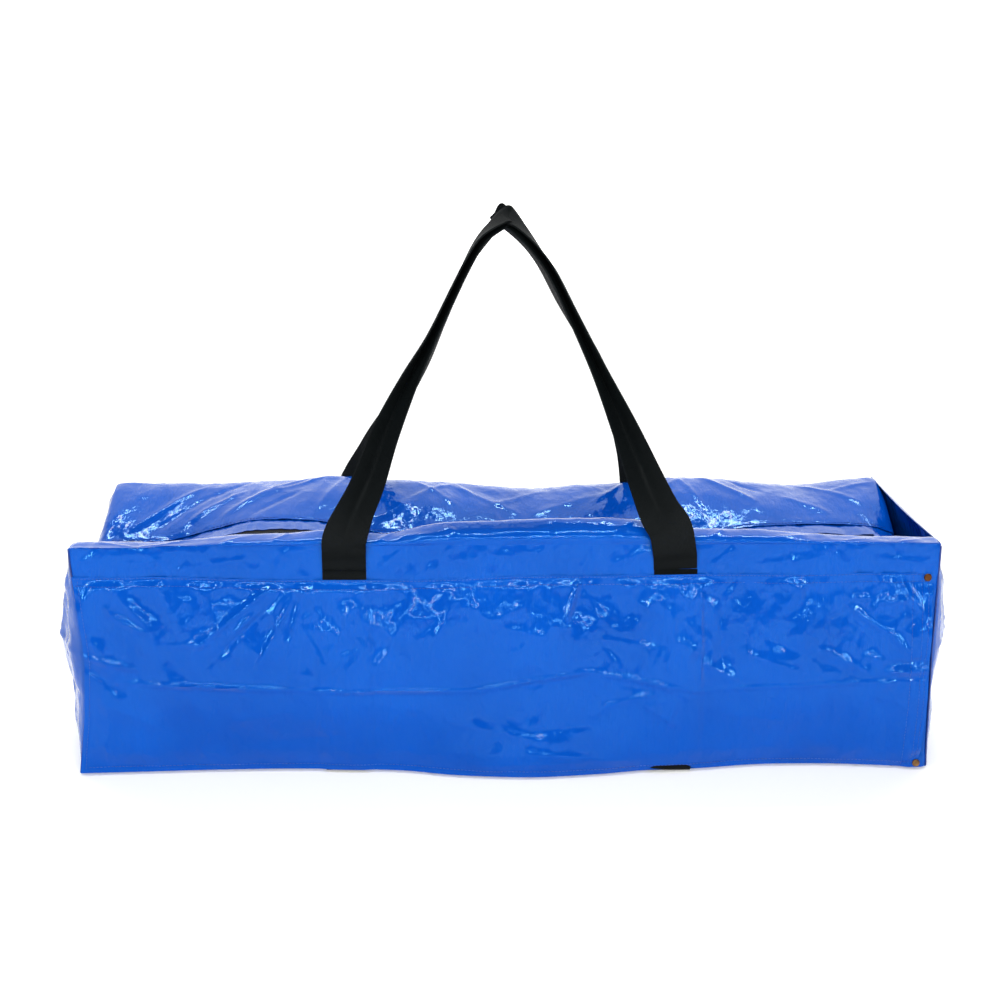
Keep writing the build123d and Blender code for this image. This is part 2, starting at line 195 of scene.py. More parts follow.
def thicken(bm, thick):
    """Gives a sheet its thickness inwards, evenly even where it is folded tight."""
    made = bmesh.ops.extrude_face_region(bm, geom=bm.faces[:], use_keep_orig=True)
    inner = [f for f in made["geom"] if isinstance(f, bmesh.types.BMFace)]
    moves = {}
    for face in inner:
        face.normal_update()
        for vert in face.verts:
            moves[vert] = moves.get(vert, Vector()) + face.normal
    for vert, total in moves.items():
        vert.co -= total.normalized() * thick
    bmesh.ops.recalc_face_normals(bm, faces=bm.faces[:])


def panel_bmesh(across, along, size, place, thick=0.0007, flip=False):
    """A grid of across × along cells, moved by place(u, v) with u and v from 0 to 1."""
    bm = bmesh.new()
    bmesh.ops.create_grid(bm, x_segments=across, y_segments=along, size=0.5)
    uv = bm.loops.layers.uv.new("sheet")
    for face in bm.faces:
        for loop in face.loops:
            loop[uv].uv = ((loop.vert.co.x + 0.5) * size[0], (loop.vert.co.y + 0.5) * size[1])
    for vert in bm.verts:
        vert.co = place(min(1, max(0, vert.co.x + 0.5)), min(1, max(0, vert.co.y + 0.5)))
    if flip:
        bmesh.ops.reverse_faces(bm, faces=bm.faces)
    bm.normal_update()
    if thick:
        thicken(bm, thick)
    return bm


def panel(name, across, along, size, place, material, thick=0.0007, flip=False):
    return finish_mesh(name, panel_bmesh(across, along, size, place, thick, flip), material)


# %% [markdown]
# ## Shader maths in plain Python
# A material reads best as sums. This class wraps a socket, so that adding, subtracting and multiplying write the
# Math nodes, and one method adds any other node.

# %% A small class for shader sums
class Graph:
    def __init__(self, name):
        self.material = bpy.data.materials.new(name)
        self.material.use_nodes = True
        self.tree = self.material.node_tree
        self.surface = self.tree.nodes["Principled BSDF"]

    def node(self, kind, settings=None, **values):
        made = self.tree.nodes.new(kind)
        for key, value in (settings or {}).items():
            if key == "stops":
                ramp = made.color_ramp
                while len(ramp.elements) < len(value):
                    ramp.elements.new(0.5)
                for element, (at, colour) in zip(ramp.elements, value):
                    element.position = at
                    element.color = colour
            else:
                setattr(made, key, value)
        for key, value in values.items():
            socket = made.inputs[int(key[1:])] if key[0] == "n" and key[1:].isdigit() else made.inputs[key.replace("_", " ")]
            self.join(value, socket)
        return made

    def join(self, value, socket):
        if isinstance(value, Value):
            self.tree.links.new(value.socket, socket)
        else:
            socket.default_value = value

    def value(self, node, output=0):
        return Value(self, node.outputs[output])

    def colours(self, share, first, second):
        made = self.node("ShaderNodeMix", {"data_type": "RGBA"})
        self.join(share, made.inputs[0])
        self.join(first, made.inputs[6])
        self.join(second, made.inputs[7])
        return Value(self, made.outputs[2])

    def places(self, stretch=(1, 1, 1), uv=None):
        """Object coordinates, or a UV map's, stretched by a Mapping node."""
        if uv:
            source = Value(self, self.node("ShaderNodeUVMap", {"uv_map": uv}).outputs[0])
        else:
            source = Value(self, self.node("ShaderNodeTexCoord").outputs["Object"])
        return self.value(self.node("ShaderNodeMapping", Vector=source, Scale=stretch))

    def clouds(self, places, scale, detail=2.0, roughness=0.5):
        return self.value(self.node(
            "ShaderNodeTexNoise", {"noise_dimensions": "3D"},
            Vector=places, Scale=scale, Detail=detail, Roughness=roughness))

    def relief(self, height, distance, strength=1.0, below=None):
        values = dict(Height=height, Distance=distance, Strength=strength)
        if below is not None:
            values["Normal"] = below
        return self.value(self.node("ShaderNodeBump", None, **values))

    def finish(self, **inputs):
        for key, value in inputs.items():
            self.join(value, self.surface.inputs[key.replace("_", " ")])
        return self.material


class Value:
    def __init__(self, graph, socket):
        self.graph, self.socket = graph, socket

    def _sum(self, operation, other, turned=False, clamp=False):
        a, b = (other, self) if turned else (self, other)
        made = self.graph.node("ShaderNodeMath", {"operation": operation, "use_clamp": clamp})
        self.graph.join(a, made.inputs[0])
        if b is not None:
            self.graph.join(b, made.inputs[1])
        return Value(self.graph, made.outputs[0])

    def __add__(self, other): return self._sum("ADD", other)
    def __radd__(self, other): return self._sum("ADD", other, True)
    def __sub__(self, other): return self._sum("SUBTRACT", other)
    def __rsub__(self, other): return self._sum("SUBTRACT", other, True)
    def __mul__(self, other): return self._sum("MULTIPLY", other)
    def __rmul__(self, other): return self._sum("MULTIPLY", other, True)
    def __truediv__(self, other): return self._sum("DIVIDE", other)
    def __rtruediv__(self, other): return self._sum("DIVIDE", other, True)
    def __pow__(self, other): return self._sum("POWER", other)
    def above(self, other): return self._sum("GREATER_THAN", other)
    def most(self, other): return self._sum("MAXIMUM", other)
    def least(self, other): return self._sum("MINIMUM", other)
    def wave(self): return self._sum("SINE", None)
    def size(self): return self._sum("ABSOLUTE", None)
    def clamped(self): return self._sum("ADD", 0.0, clamp=True)

    def part(self, index):
        split = self.graph.node("ShaderNodeSeparateXYZ", None, Vector=self)
        return Value(self.graph, split.outputs[index])


# %% [markdown]
# ## Glossy PVC sheet
# Dip-coated polyester: a saturated blue skin, so even that it mirrors lights sharply, over a scrim whose threads
# show as fine ribs. Near seams the skin is gathered into upright ripples, which break a highlight into bright
# threads. The ripples are relief, three sizes of it, and the gloss varies a little where hands have rubbed.

# %% The blue sheet
def make_sheet_material(name, deep, bright, gathered=1.0):
    g = Graph(name)
    place = g.places()
    patches = g.clouds(g.places((9, 9, 9)), 1.0, 2.0)
    ripples = g.clouds(g.places((190, 60, 22)), 1.0, 2.5, 0.55)
    creases = g.clouds(g.places((34, 26, 24)), 1.0, 3.0, 0.55)
    ribs = g.clouds(g.places((900, 900, 120)), 1.0, 1.0)
    mask = ((patches - 0.47) * 6.0).clamped()
    colour = g.colours(((patches - 0.3) * 2.0).clamped(), deep, bright)
    soft = g.relief(1 - (creases - 0.5).size() * 2.0, 0.0016, 0.8)
    gather = g.relief(ripples * mask, 0.0013 * gathered, 0.8, soft)
    fine = g.relief(ribs, 0.00010, 0.3, gather)
    return g.finish(
        Base_Color=colour, Roughness=0.13 + (patches - 0.5) * 0.10, Normal=fine,
        Coat_Weight=0.10, Coat_Roughness=0.03, Specular_IOR_Level=0.42, Specular_Tint=(0.16, 0.62, 1.0, 1))


pvc_blue = make_sheet_material("pvc_blue", (0.0, 0.050, 0.34, 1), (0.0, 0.066, 0.41, 1))
print("blue sheet:", len(pvc_blue.node_tree.nodes), "nodes")

# %% [markdown]
# ## Webbing
# Woven polypropylene, almost black with a green cast. Seen close it is a twill: pairs of warp threads run the
# length and shallow weft steps cross them every millimetre or so, with a thicker edge on both sides.

# %% Webbing, thread and zip cloth
def make_woven_material(name, dark, light, warp=1.6, weft=1.1, rough=0.62, high=0.00035):
    g = Graph(name)
    place = g.places((1000.0, 1000.0, 1.0), "sheet")
    across, along = place.part(0), place.part(1)
    steps = (along * (2 * pi / weft) + (across * (pi / warp)).wave() * 1.4).wave()
    warps = (across * (2 * pi / warp)).wave()
    weave = 0.5 + steps * 0.3 + warps * 0.2
    fuzz = g.clouds(g.places((700, 700, 700)), 1.0, 2.0)
    worn = g.clouds(g.places((14, 14, 14)), 1.0, 2.0)
    colour = g.colours((weave * 0.55 + fuzz * 0.3 + worn * 0.25 - 0.1).clamped(), dark, light)
    return g.finish(
        Base_Color=colour, Roughness=rough + (fuzz - 0.5) * 0.2,
        Normal=g.relief(weave + fuzz * 0.4, high, 0.8), Specular_IOR_Level=0.10)


webbing_black = make_woven_material("webbing_black", (0.0006, 0.0012, 0.0014, 1), (0.0038, 0.0060, 0.0068, 1))
zip_cloth = make_woven_material(
    "zip_cloth", (0.003, 0.003, 0.0035, 1), (0.014, 0.014, 0.016, 1), 0.9, 0.7, 0.7, 0.0002)


# %% Plain finishes for the small parts
def make_plain_material(name, dark, light, rough, metal=0.0, grain=400, high=0.00008, worn=0.25, coat=0.0):
    g = Graph(name)
    fine = g.clouds(g.places((grain, grain, grain)), 1.0, 3.0)
    broad = g.clouds(g.places((60, 60, 60)), 1.0, 2.0)
    colour = g.colours(((broad - 0.35) * 2.2 + (fine - 0.5) * 0.6).clamped(), dark, light)
    return g.finish(
        Base_Color=colour, Metallic=metal, Roughness=rough + (fine - 0.5) * worn,
        Normal=g.relief(fine, high, 0.7), Coat_Weight=coat)


blue_thread = make_plain_material(
    "blue_thread", (0.0, 0.03, 0.24, 1), (0.0, 0.08, 0.46, 1), 0.55, grain=1500, high=0.0001)
black_thread = make_plain_material("black_thread", (0.003, 0.003, 0.004, 1), (0.02, 0.02, 0.022, 1), 0.6, grain=1500)
zip_nylon = make_plain_material("zip_nylon", (0.004, 0.004, 0.005, 1), (0.02, 0.02, 0.024, 1), 0.38, grain=900)
antique_brass = make_plain_material(
    "antique_brass", (0.09, 0.035, 0.012, 1), (0.46, 0.27, 0.11, 1), 0.42, metal=1.0, grain=1200, high=0.00015)
burr_brass = make_plain_material(
    "burr_brass", (0.2, 0.12, 0.04, 1), (0.55, 0.36, 0.15, 1), 0.4, metal=1.0, grain=900, high=0.0001)
painted_zinc = make_plain_material(
    "painted_zinc", (0.012, 0.012, 0.013, 1), (0.05, 0.05, 0.055, 1), 0.35, metal=0.7, grain=1100, high=0.00008, coat=0.3)


def make_pile_material(name, dark, light, size, high):
    """Hook or loop pile: close-set little tufts."""
    g = Graph(name)
    tufts = g.value(g.node("ShaderNodeTexVoronoi", {"feature": "F1"}, Vector=g.places((size, size, size)), Scale=1.0))
    fuzz = g.clouds(g.places((size * 2, size * 2, size * 2)), 1.0, 3.0)
    height = (1 - tufts) * 0.7 + fuzz * 0.5
    return g.finish(
        Base_Color=g.colours((height - 0.3).clamped(), dark, light), Roughness=0.8 + (fuzz - 0.5) * 0.15,
        Normal=g.relief(height, high, 0.9))


hook_tape = make_pile_material("hook_tape", (0.0, 0.03, 0.2, 1), (0.02, 0.14, 0.6, 1), 650, 0.0006)
loop_tape = make_pile_material("loop_tape", (0.0, 0.04, 0.26, 1), (0.03, 0.18, 0.66, 1), 420, 0.0008)
print("materials", len(bpy.data.materials))

# %% [markdown]
# ## Front of the bag
# The front wall stands behind the pocket and shows only above the pocket's seam. The pocket's sheet was folded
# across its middle in the packing, so the upper half leans back to the seam and the lower half tucks under, with
# the old fold line between. The belly webbing runs down behind the sheet and prints two upright edges through it.

# %% Where the front wall lies
LEFT, RIGHT = -0.5, 0.5
SEAM_Z = lowest_highest("pocket_panel")[1].z        # top of the pocket
POCKET_RIGHT = lowest_highest("pocket_panel")[1].x  # its open end
MOUTH_X = lowest_highest("pocket_mouth_flap")[0].x
print("pocket seam", round(SEAM_Z, 4), "open end", round(POCKET_RIGHT, 4), "mouth from", round(MOUTH_X, 4))
front_root_z = lambda x: min(0.2787, front_ridge(x) - 0.006)
back_root_z = lambda x: min(0.2787, back_ridge(x) - 0.004)


rivet_low, rivet_high = lowest_highest("pocket_rivets")
RIVET_X = (rivet_low.x + rivet_high.x) / 2
RIVET_ZS = (rivet_low.z + 0.0046, rivet_high.z - 0.0046)


def at_rivet(x, z):
    return max(exp(-((hypot(x - RIVET_X, z - rz) / 0.014) ** 4)) for rz in RIVET_ZS)


def front_wall_y(x, z):
    foot = front_foot(x) + 0.004
    y = mix(foot, -0.1585, ease(z / 0.13))
    y -= 0.0015 * sin(pi * min(1, z / 0.27)) * (1 - (abs(x) / 0.5) ** 6)
    return mix(y, -0.1564, at_rivet(x, z))


pocket_folds = [
    # the old packing fold, across the whole front
    (-455, 119, -206, 109, 2.6, 2.2), (-215, 109, -33, 108, 3, 2.6), (-40, 108, 95, 131, 2.8, 2.6),
    (90, 131, 224, 106, 2.8, 2.4), (215, 106, 459, 117, 2.6, 1.9),
    (-200, 104, -60, 103, 8, -1.6), (10, 112, 90, 124, 6, -1.6), (120, 116, 215, 101, 6, -1.4),
    # edges of the webbing behind
    (-160, 224, -159, 30, 2.2, 1.3), (223, 230, 224, 96, 2.2, 2.6), (224, 96, 224, 25, 2.5, 1.0),
    (-217, 220, -217, 30, 3, 0.8), (163, 225, 164, 25, 3, 0.9), (171, 119, 173, 40, 2.4, 1.5),
    # long folds hanging from the seam
    (-268, 240, -360, 160, 4.5, 3.4), (-258, 232, -342, 142, 4.5, -2.6), (-247, 226, -293, 126, 4, 2.8),
    (-236, 226, -256, 148, 3, 2.0), (-392, 163, -340, 168, 4, 1.6), (-275, 215, -318, 178, 5, 2.4),
    (-180, 218, -196, 170, 3, 1.6), (-172, 205, -158, 160, 3, 1.6), (-186, 158, -200, 128, 5, 1.6),
    (83, 247, 66, 190, 2.6, 3.4), (60, 186, 71, 183, 3, 1.5), (88, 240, 74, 190, 4, -2.0),
    (-66, 216, -88, 164, 4, 1.8), (-88, 166, -90, 130, 4, 1.2), (-10, 185, 44, 172, 7, 1.5), (30, 170, 2, 150, 4, 1.3),
    (104, 200, 150, 150, 6, 1.2), (115, 175, 190, 160, 5, -1.3), (180, 196, 168, 224, 5, 1.4), (196, 168, 222, 150, 3.5, 2.2),
    (224, 142, 268, 118, 5, 2.6), (250, 160, 350, 124, 7, 1.5), (300, 168, 420, 118, 8, -1.5),
    # left corner
    (-460, 212, -453, 198, 4, 1.8), (-455, 200, -413, 178, 4, 2.4), (-446, 208, -416, 182, 3, -1.6),
    (-422, 170, -416, 152, 4, 1.6), (-489, 151, -424, 134, 3.5, 3.0), (-487, 140, -440, 105, 9, -3.6),
    (-395, 119, -268, 109, 3, 1.4), (-470, 96, -400, 60, 8, 1.4), (-480, 60, -460, 20, 6, 1.0),
    # right end, beside the mouth
    (393, 206, 436, 176, 3.2, 2.6), (399, 215, 419, 214, 3, 2.0), (435, 209, 463, 214, 3.5, 2.6),
    (439, 179, 465, 150, 4, 2.4), (417, 147, 441, 140, 3.5, 2.2), (428, 104, 464, 130, 6, 2.4),
    (363, 156, 426, 125, 5, 1.6), (440, 128, 497, 131, 3, 3.0), (446, 137, 497, 143, 3, -2.4),
    (436, 120, 497, 122, 3.5, -2.2), (420, 100, 470, 88, 7, 1.2),
    # low folds
    (150, 96, 200, 62, 3.5, 2.2), (196, 92, 182, 50, 3.5, 1.8), (175, 112, 215, 96, 4, 1.8), (165, 88, 184, 96, 4, 1.6),
    (100, 86, 176, 104, 4, 1.6), (95, 76, 120, 90, 3.5, 1.2), (-60, 70, 60, 44, 9, 1.2), (20, 60, 110, 66, 7, -1.2),
    (-60, 18, 100, 22, 5, 1.4), (-330, 64, -250, 84, 10, 1.2), (-140, 60, -110, 90, 7, 1.0), (260, 76, 330, 64, 9, 1.1),
    (-300, 40, -180, 52, 9, -1.2), (20, 34, 160, 18, 6, 1.6),
]


def pocket_stand(x, z):
    """How far the pocket's sheet stands off the wall behind it."""
    top = ease((SEAM_Z - 0.001 - z) / 0.075)
    low = ease((z - 0.003) / 0.03)
    left = ease((x - LEFT) / 0.05)
    open_end = ease((x - 0.36) / 0.1)
    stand = 0.0012 + 0.0058 * top * low * mix(left, 1, 0)
    return stand + 0.0030 * open_end * sin(pi * min(1, max(0, (z - 0.003) / (SEAM_Z - 0.003)))) ** 0.7


def pocket_y(x, z):
    y = front_wall_y(x, z) - pocket_stand(x, z)
    # upper half leans back, lower half tucks in under the packing fold
    fold_z = 0.113 + 0.010 * sin((x + 0.1) * 9)
    y -= 0.0042 * exp(-((z - fold_z) / 0.05) ** 2)
    behind = max(exp(-(((x + 0.188) / 0.028) ** 6)), exp(-(((x - 0.193) / 0.030) ** 6)))
    y -= 0.0031 * behind
    calm = ease(min(z - 0.001, SEAM_Z - 0.002 - z) / 0.012) * ease((x - LEFT) / 0.012)
    near_seam = exp(-(SEAM_Z - z) / 0.045) + 0.5 * exp(-z / 0.03)
    ends = exp(-(x - LEFT) / 0.10) + 0.8 * exp(-(POCKET_RIGHT - x) / 0.11)
    straps = exp(-(((x + 0.19) / 0.07) ** 2)) + exp(-(((x - 0.19) / 0.06) ** 2))
    upper = ease((z - 0.09) / 0.06)
    lively = 0.26 + 0.5 * near_seam + 0.7 * ends + 0.75 * straps * upper
    y -= calm * (fold_at(x, z, pocket_folds) + waves(x, z, 1.7, 0.12, 0.0028) + waves(x, z, 8.1, 0.05, 0.0009)
                 + min(1.3, lively) * crumple(x, z, 3.3, 0.030, 0.0030)
                 + (0.35 + 0.65 * upper) * crumple(x, z, 13.7, 0.080, 0.0042))
    gather = exp(-abs(z - (SEAM_Z - 0.012)) / 0.010)
    y -= 0.00045 * gather * noise.noise(Vector((x / 0.0045, 4.4, 0)))
    return max(mix(y, -0.15735, at_rivet(x, z)), -0.1845)


def seam_sag(x, z):
    """The pocket's top seam hangs a little between its ends."""
    return (0.0052 * exp(-(((x + 0.17) / 0.19) ** 2)) - 0.0006 * sin(x * 31 + 1)) * ease((z - 0.12) / 0.1)


def left_edge(z):
    return LEFT + end_seam_in(z)


def pocket_right_edge(z):
    return POCKET_RIGHT - 0.0035 * (1 - z / SEAM_Z) - 0.002 * exp(-(((z - 0.131) / 0.02) ** 2))


# %% [markdown]
# ## The pocket in three pieces
# The pocket's mouth gapes at its right end: the middle of the edge opens while the corners stay riveted. So the
# last part of the sheet is two pieces, above and below the middle. Here both are made in place and don't bend, and
# both meet the long main piece on the line that the mouth turns about, where nothing moves.

# %% Main piece of the pocket
def pocket_place(x0, x1, z0, z1, x_left=None, x_right=None):
    def place(u, v):
        z = mix(z0, z1, v)
        if z0 < 0.1:
            over_strap = exp(-(((mix(x0, x1, u) - 0.1925) / 0.027) ** 6))
            z += 0.0075 * over_strap * (1 - v) ** 6
        a = x_left(z) if x_left else x0
        b = x_right(z) if x_right else x1
        x = mix(a, b, u)
        return Vector((x, pocket_y(x, z), z - seam_sag(x, z)))
    return place


POCKET_FOOT = 0.0034
MOUTH_MIDDLE = (lowest_highest("pocket_mouth_flap")[0].z + lowest_highest("pocket_mouth_flap")[1].z) / 2
pocket_main = panel(
    "pocket_main_sheet", 330, 96, (0.84, 0.241),
    pocket_place(LEFT, MOUTH_X, POCKET_FOOT, SEAM_Z, x_left=left_edge), pvc_blue)
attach(pocket_main, "bag")
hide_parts("pocket_panel")
print("pocket main piece:", len(pocket_main.data.polygons), "faces")

# %% The two halves of its mouth
for name, z0, z1, held in (
    ("pocket_mouth_lower", POCKET_FOOT, MOUTH_MIDDLE, 0.010),
    ("pocket_mouth_upper", MOUTH_MIDDLE, SEAM_Z, SEAM_Z - 0.008),
):
    half = panel(
        name, 62, 48, (0.152, z1 - z0), pocket_place(MOUTH_X, POCKET_RIGHT, z0, z1, x_right=pocket_right_edge), pvc_blue)
    turned = mix(held, MOUTH_MIDDLE, 0.75)
    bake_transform(half)
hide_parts("pocket_mouth_flap")
print("mouth halves meet at z", round(MOUTH_MIDDLE, 4))

# %% [markdown]
# ## The four other sides
# Front wall, back wall, bottom and two end panels are cut from the same sheet. The end panels are the slackest:
# each is sewn in round all four sides and bellies out, with its top edge sagging between the ridges.

# %% Front and back walls
band_folds = [
    (-495, 262, -440, 268, 4, 1.2), (-488, 256, -466, 272, 3, 1.6), (-440, 258, -380, 262, 3, 1.3),
    (-380, 250, -300, 264, 4, 1.2), (-268, 250, -250, 276, 3, 1.6), (-150, 252, -120, 274, 3, 1.6),
    (-60, 262, 40, 270, 7, 1.2), (84, 248, 96, 274, 2.6, 2.0), (120, 256, 160, 270, 4, 1.5),
    (230, 252, 260, 272, 3.5, 1.6), (300, 256, 380, 266, 5, 1.2), (430, 262, 490, 254, 4, 1.5),
]


def front_wall_place(u, v):
    z = mix(0.003, 1, 0) + v * 0
    x0 = mix(LEFT, RIGHT, u)
    top = front_root_z(x0)
    z = mix(0.003, top, v)
    x = mix(left_edge(z), RIGHT - 0.2 * end_seam_in(z), u)
    y = front_wall_y(x, z)
    band = ease((z - 0.225) / 0.02) * ease((top - z) / 0.006)
    y -= band * (fold_at(x, z, band_folds) * 0.8 + crumple(x, z, 2.2, 0.022, 0.0013) + waves(x, z, 5.5, 0.06, 0.001))
    curl = exp(-(x - left_edge(z)) / 0.002) + exp(-(RIGHT - 0.2 * end_seam_in(z) - x) / 0.002)
    return Vector((x, y + 0.0015 * min(1, curl), z))


front_sheet = panel("front_body_sheet", 380, 90, (1.0, 0.277), front_wall_place, pvc_blue)
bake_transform(front_sheet)
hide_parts("front_wall")

back_foot = line_through((-500, 156), (-300, 152), (-120, 160), (60, 165), (240, 157), (500, 160))
back_folds = [
    (-470, 240, -380, 120, 6, 2.2), (-430, 250, -300, 190, 7, 1.6), (-300, 260, -260, 120, 5, 1.8),
    (-150, 245, -60, 150, 6, 2.0), (-40, 200, 60, 96, 7, 1.8), (90, 250, 60, 150, 5, 2.0),
    (140, 230, 230, 110, 6, 1.6), (260, 250, 340, 160, 6, 2.0), (360, 240, 470, 120, 7, 2.2),
    (-460, 112, 460, 118, 5, 1.8), (-400, 60, -220, 90, 9, 1.5), (150, 70, 330, 50, 9, 1.5),
]


def back_wall_place(u, v):
    top = back_root_z(mix(LEFT, RIGHT, u))
    z = mix(0.003, top, v)
    inset = end_seam_in(z) * 0.6
    x = mix(LEFT + inset, RIGHT - inset, u)
    y = mix(back_foot(x), 0.1640, ease(z / 0.12))
    calm = ease((z - 0.002) / 0.02) * ease((top - z) / 0.012) * ease((0.5 - abs(x)) / 0.02)
    y += calm * (0.004 * exp(-((z - 0.115) / 0.06) ** 2) + fold_at(x, z, back_folds)
                 + waves(x, z, 12.5, 0.12, 0.0028) + crumple(x, z, 7.7, 0.032, 0.0013))
    curl = exp(-(x - LEFT - inset) / 0.002) + exp(-(RIGHT - inset - x) / 0.002)
    return Vector((x, y - 0.0015 * min(1, curl), z))


back_sheet = panel("back_body_sheet", 380, 90, (1.0, 0.277), back_wall_place, pvc_blue, flip=True)
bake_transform(back_sheet)
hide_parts("back_wall")
print("walls", len(front_sheet.data.polygons), len(back_sheet.data.polygons), "faces")


# %% Bottom
def bottom_place(u, v):
    x = mix(LEFT, RIGHT, u)
    y = mix(front_foot(x) + 0.004, back_foot(x), v)
    rim = ease(min(v, 1 - v) / 0.06) * ease(min(u, 1 - u) / 0.03)
    z = 0.0028 + rim * (0.0012 + waves(x, y, 4.2, 0.14, 0.0022) + 0.5 * crumple(x, y, 1.1, 0.04, 0.001))
    return Vector((x, y, max(0.0022, z)))


bottom = panel("bottom_sheet", 220, 70, (1.0, 0.32), bottom_place, pvc_blue, flip=True)
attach(bottom, "bag")
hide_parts("bottom_panel")

# %% [markdown]
# ## The zipped top
# From each ridge the sheet rolls over and falls to the zip, where its edge is lapped and sewn onto a narrow
# strip. Each side opens by turning about its ridge, but its ends stay sewn to the end panels. Each side is made
# as a left and a right half, placed at rest; nothing here bends them with the flap.

# %% Cross sections of the top
def along_points(points, t):
    """Catmull-Rom curve through (y, z) points, t from 0 to 1."""
    n = len(points) - 1
    i = min(int(t * n), n - 1)
    s = t * n - i
    p0, p1 = points[max(i - 1, 0)], points[i]
    p2, p3 = points[i + 1], points[min(i + 2, n)]
    return [
        0.5 * (2 * b + (c - a) * s + (2 * a - 5 * b + 4 * c - d) * s * s + (3 * b - 3 * c + d - a) * s**3)
        for a, b, c, d in zip(p0, p1, p2, p3)
    ]


def front_section(x):
    ridge, lap, root = front_ridge(x), front_lap(x), front_root_z(x)
    crown = ridge - 0.0055
    return [
        (-0.1585, root), (-0.1590, mix(root, crown, 0.40)), (-0.1510, mix(root, crown, 0.80)), (-0.1340, crown),
        (-0.1120, mix(crown, lap, 0.20)), (-0.0780, mix(crown, lap, 0.62)), (-0.044, lap),
    ]


def back_section(x):
    ridge, lap, root = back_ridge(x), back_lap(x), back_root_z(x)
    swell = 0.004 * ease((x + 0.5) / 0.3)
    return [
        (0.1645, root), (0.1652, mix(root, ridge, 0.55)), (0.156, ridge), (0.134, mix(ridge, lap, 0.10) + swell * 0.4),
        (0.090, mix(ridge, lap, 0.5) + swell), (0.044, lap),
    ]


def top_height(x, y):
    """Height of the top's sheet over a place, for the pieces that meet it."""
    points = front_section(x) if y < 0 else back_section(x)
    if y < -0.152 or y > 0.156:
        edge = points[0][1]
        return mix(points[2][1], edge, ease((abs(y) - (0.151 if y < 0 else 0.156)) / 0.008))
    if abs(y) < 0.044:
        lap = front_lap(x) if y < 0 else back_lap(x)
        return mix(zip_height(x), lap, ease((abs(y) - 0.006) / 0.038))
    inner = [p for p in points[2:]]
    for (ya, za), (yb, zb) in zip(inner, inner[1:]):
        if abs(yb) <= abs(y) <= abs(ya):
            return mix(za, zb, (abs(ya) - abs(y)) / (abs(ya) - abs(yb)))
    return points[2][1]


top_front_folds = [
    (-470, -140, -430, -156, 3, 1.6), (-420, -156, -360, -140, 4, 1.8), (-330, -158, -300, -146, 3.5, 1.6),
    (-270, -158, -250, -140, 3.5, 2.0), (-150, -158, -132, -138, 3.5, 2.2), (-128, -150, -80, -158, 4, 2.0),
    (-72, -146, -60, -156, 3, 2.0), (-20, -152, 60, -158, 5, 1.2), (120, -158, 150, -140, 3.5, 2.2),
    (148, -150, 166, -156, 3, 2.0), (228, -158, 250, -142, 3.5, 2.4), (300, -156, 350, -146, 4, 1.8),
    (380, -158, 420, -148, 4, 1.6), (450, -158, 480, -146, 4, 1.8),
]
top_back_folds = [
    (-470, 60, -380, 140, 4.5, 3.2), (-440, 58, -330, 150, 4, -2.4), (-400, 62, -330, 118, 3.5, 3.0),
    (-350, 66, -250, 156, 5, 3.4), (-310, 62, -255, 110, 3, -2.4), (-300, 104, -215, 160, 4, 2.6),
    (-235, 60, -200, 150, 4, 2.2), (-160, 62, -110, 100, 4, 2.2), (-140, 84, -60, 150, 5, 2.0),
    (-110, 150, -60, 96, 4, 2.2), (-60, 140, 20, 84, 5, 2.0), (-20, 92, 60, 140, 6, 1.8), (40, 80, 130, 120, 5, 1.6),
    (120, 100, 168, 152, 4, 2.4), (166, 150, 158, 100, 3, 2.2), (180, 84, 236, 148, 4, 2.2),
    (236, 150, 262, 80, 3.5, 2.2), (258, 160, 330, 90, 5, 2.6), (300, 150, 372, 100, 4, -2.0),
    (330, 130, 420, 66, 5, 2.0), (392, 150, 470, 84, 5, 2.2), (430, 120, 492, 140, 5, 1.8),
]


def top_place(side, x0, x1):
    section = front_section if side < 0 else back_section
    folds = top_front_folds if side < 0 else top_back_folds

    def place(u, v):
        x = mix(x0, x1, u)
        t = v**0.85
        y, z = along_points(section(x), t)
        y2, z2 = along_points(section(x), min(1, t + 0.01))
        y1, z1 = along_points(section(x), max(0, t - 0.01))
        across = Vector((0, y2 - y1, z2 - z1)).normalized()
        out = Vector((0, side * across.z, -side * across.y))
        calm = ease(v / 0.08) * mix(0.35, 1, ease((1 - v) / 0.06)) * ease((0.5 - abs(x)) / 0.012)
        lift = fold_at(x, y, folds) + crumple(x, y, 20 + side, 0.034, 0.0014) + waves(x, y, 31 + side, 0.07, 0.0022)
        seam_gather = 0.0006 * exp(-(1 - v) / 0.08) * noise.noise(Vector((x / 0.006, side, 0.5)))
        p = Vector((x, y, z)) + out * calm * (lift if side > 0 else lift * 0.7) + Vector((0, 0, seam_gather))
        curl = exp(-(0.5 - abs(x)) / 0.002)
        return p - Vector((0, 0, 0.0015 * curl))
    return place


BAG_AT, FLAP_AT = 0.493, 0.17     # where a flap's end would stay with the bag and follow the flap inwards; passed only to the lap stitches, which don't bend
flap_pieces = []


def bends_with_flap(piece):
    """Bakes a piece of the top into place; it is not tied to the bag or to its flap."""
    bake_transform(piece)


for side, which in ((-1, "front"), (1, "back")):
    for end, hand in ((-1, "left"), (1, "right")):
        x0, x1 = (LEFT, 0) if end < 0 else (0, RIGHT)
        half = panel(f"{which}_top_{hand}", 200, 62, (0.5, 0.14), top_place(side, x0, x1), pvc_blue, flip=side > 0)
        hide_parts(f"{which}_top_panel")
        bends_with_flap(half)
        flap_pieces.append(half)
print("top in", len(flap_pieces), "pieces")

# %% [markdown]
# ## Zip strips, tapes and coils
# A narrow strip of the same sheet carries each zip tape. The strip puckers where it was sewn. The tape is a fine
# black twill, and the coil on its edge is a nylon spiral: here a few dozen faces for each turn, repeated.

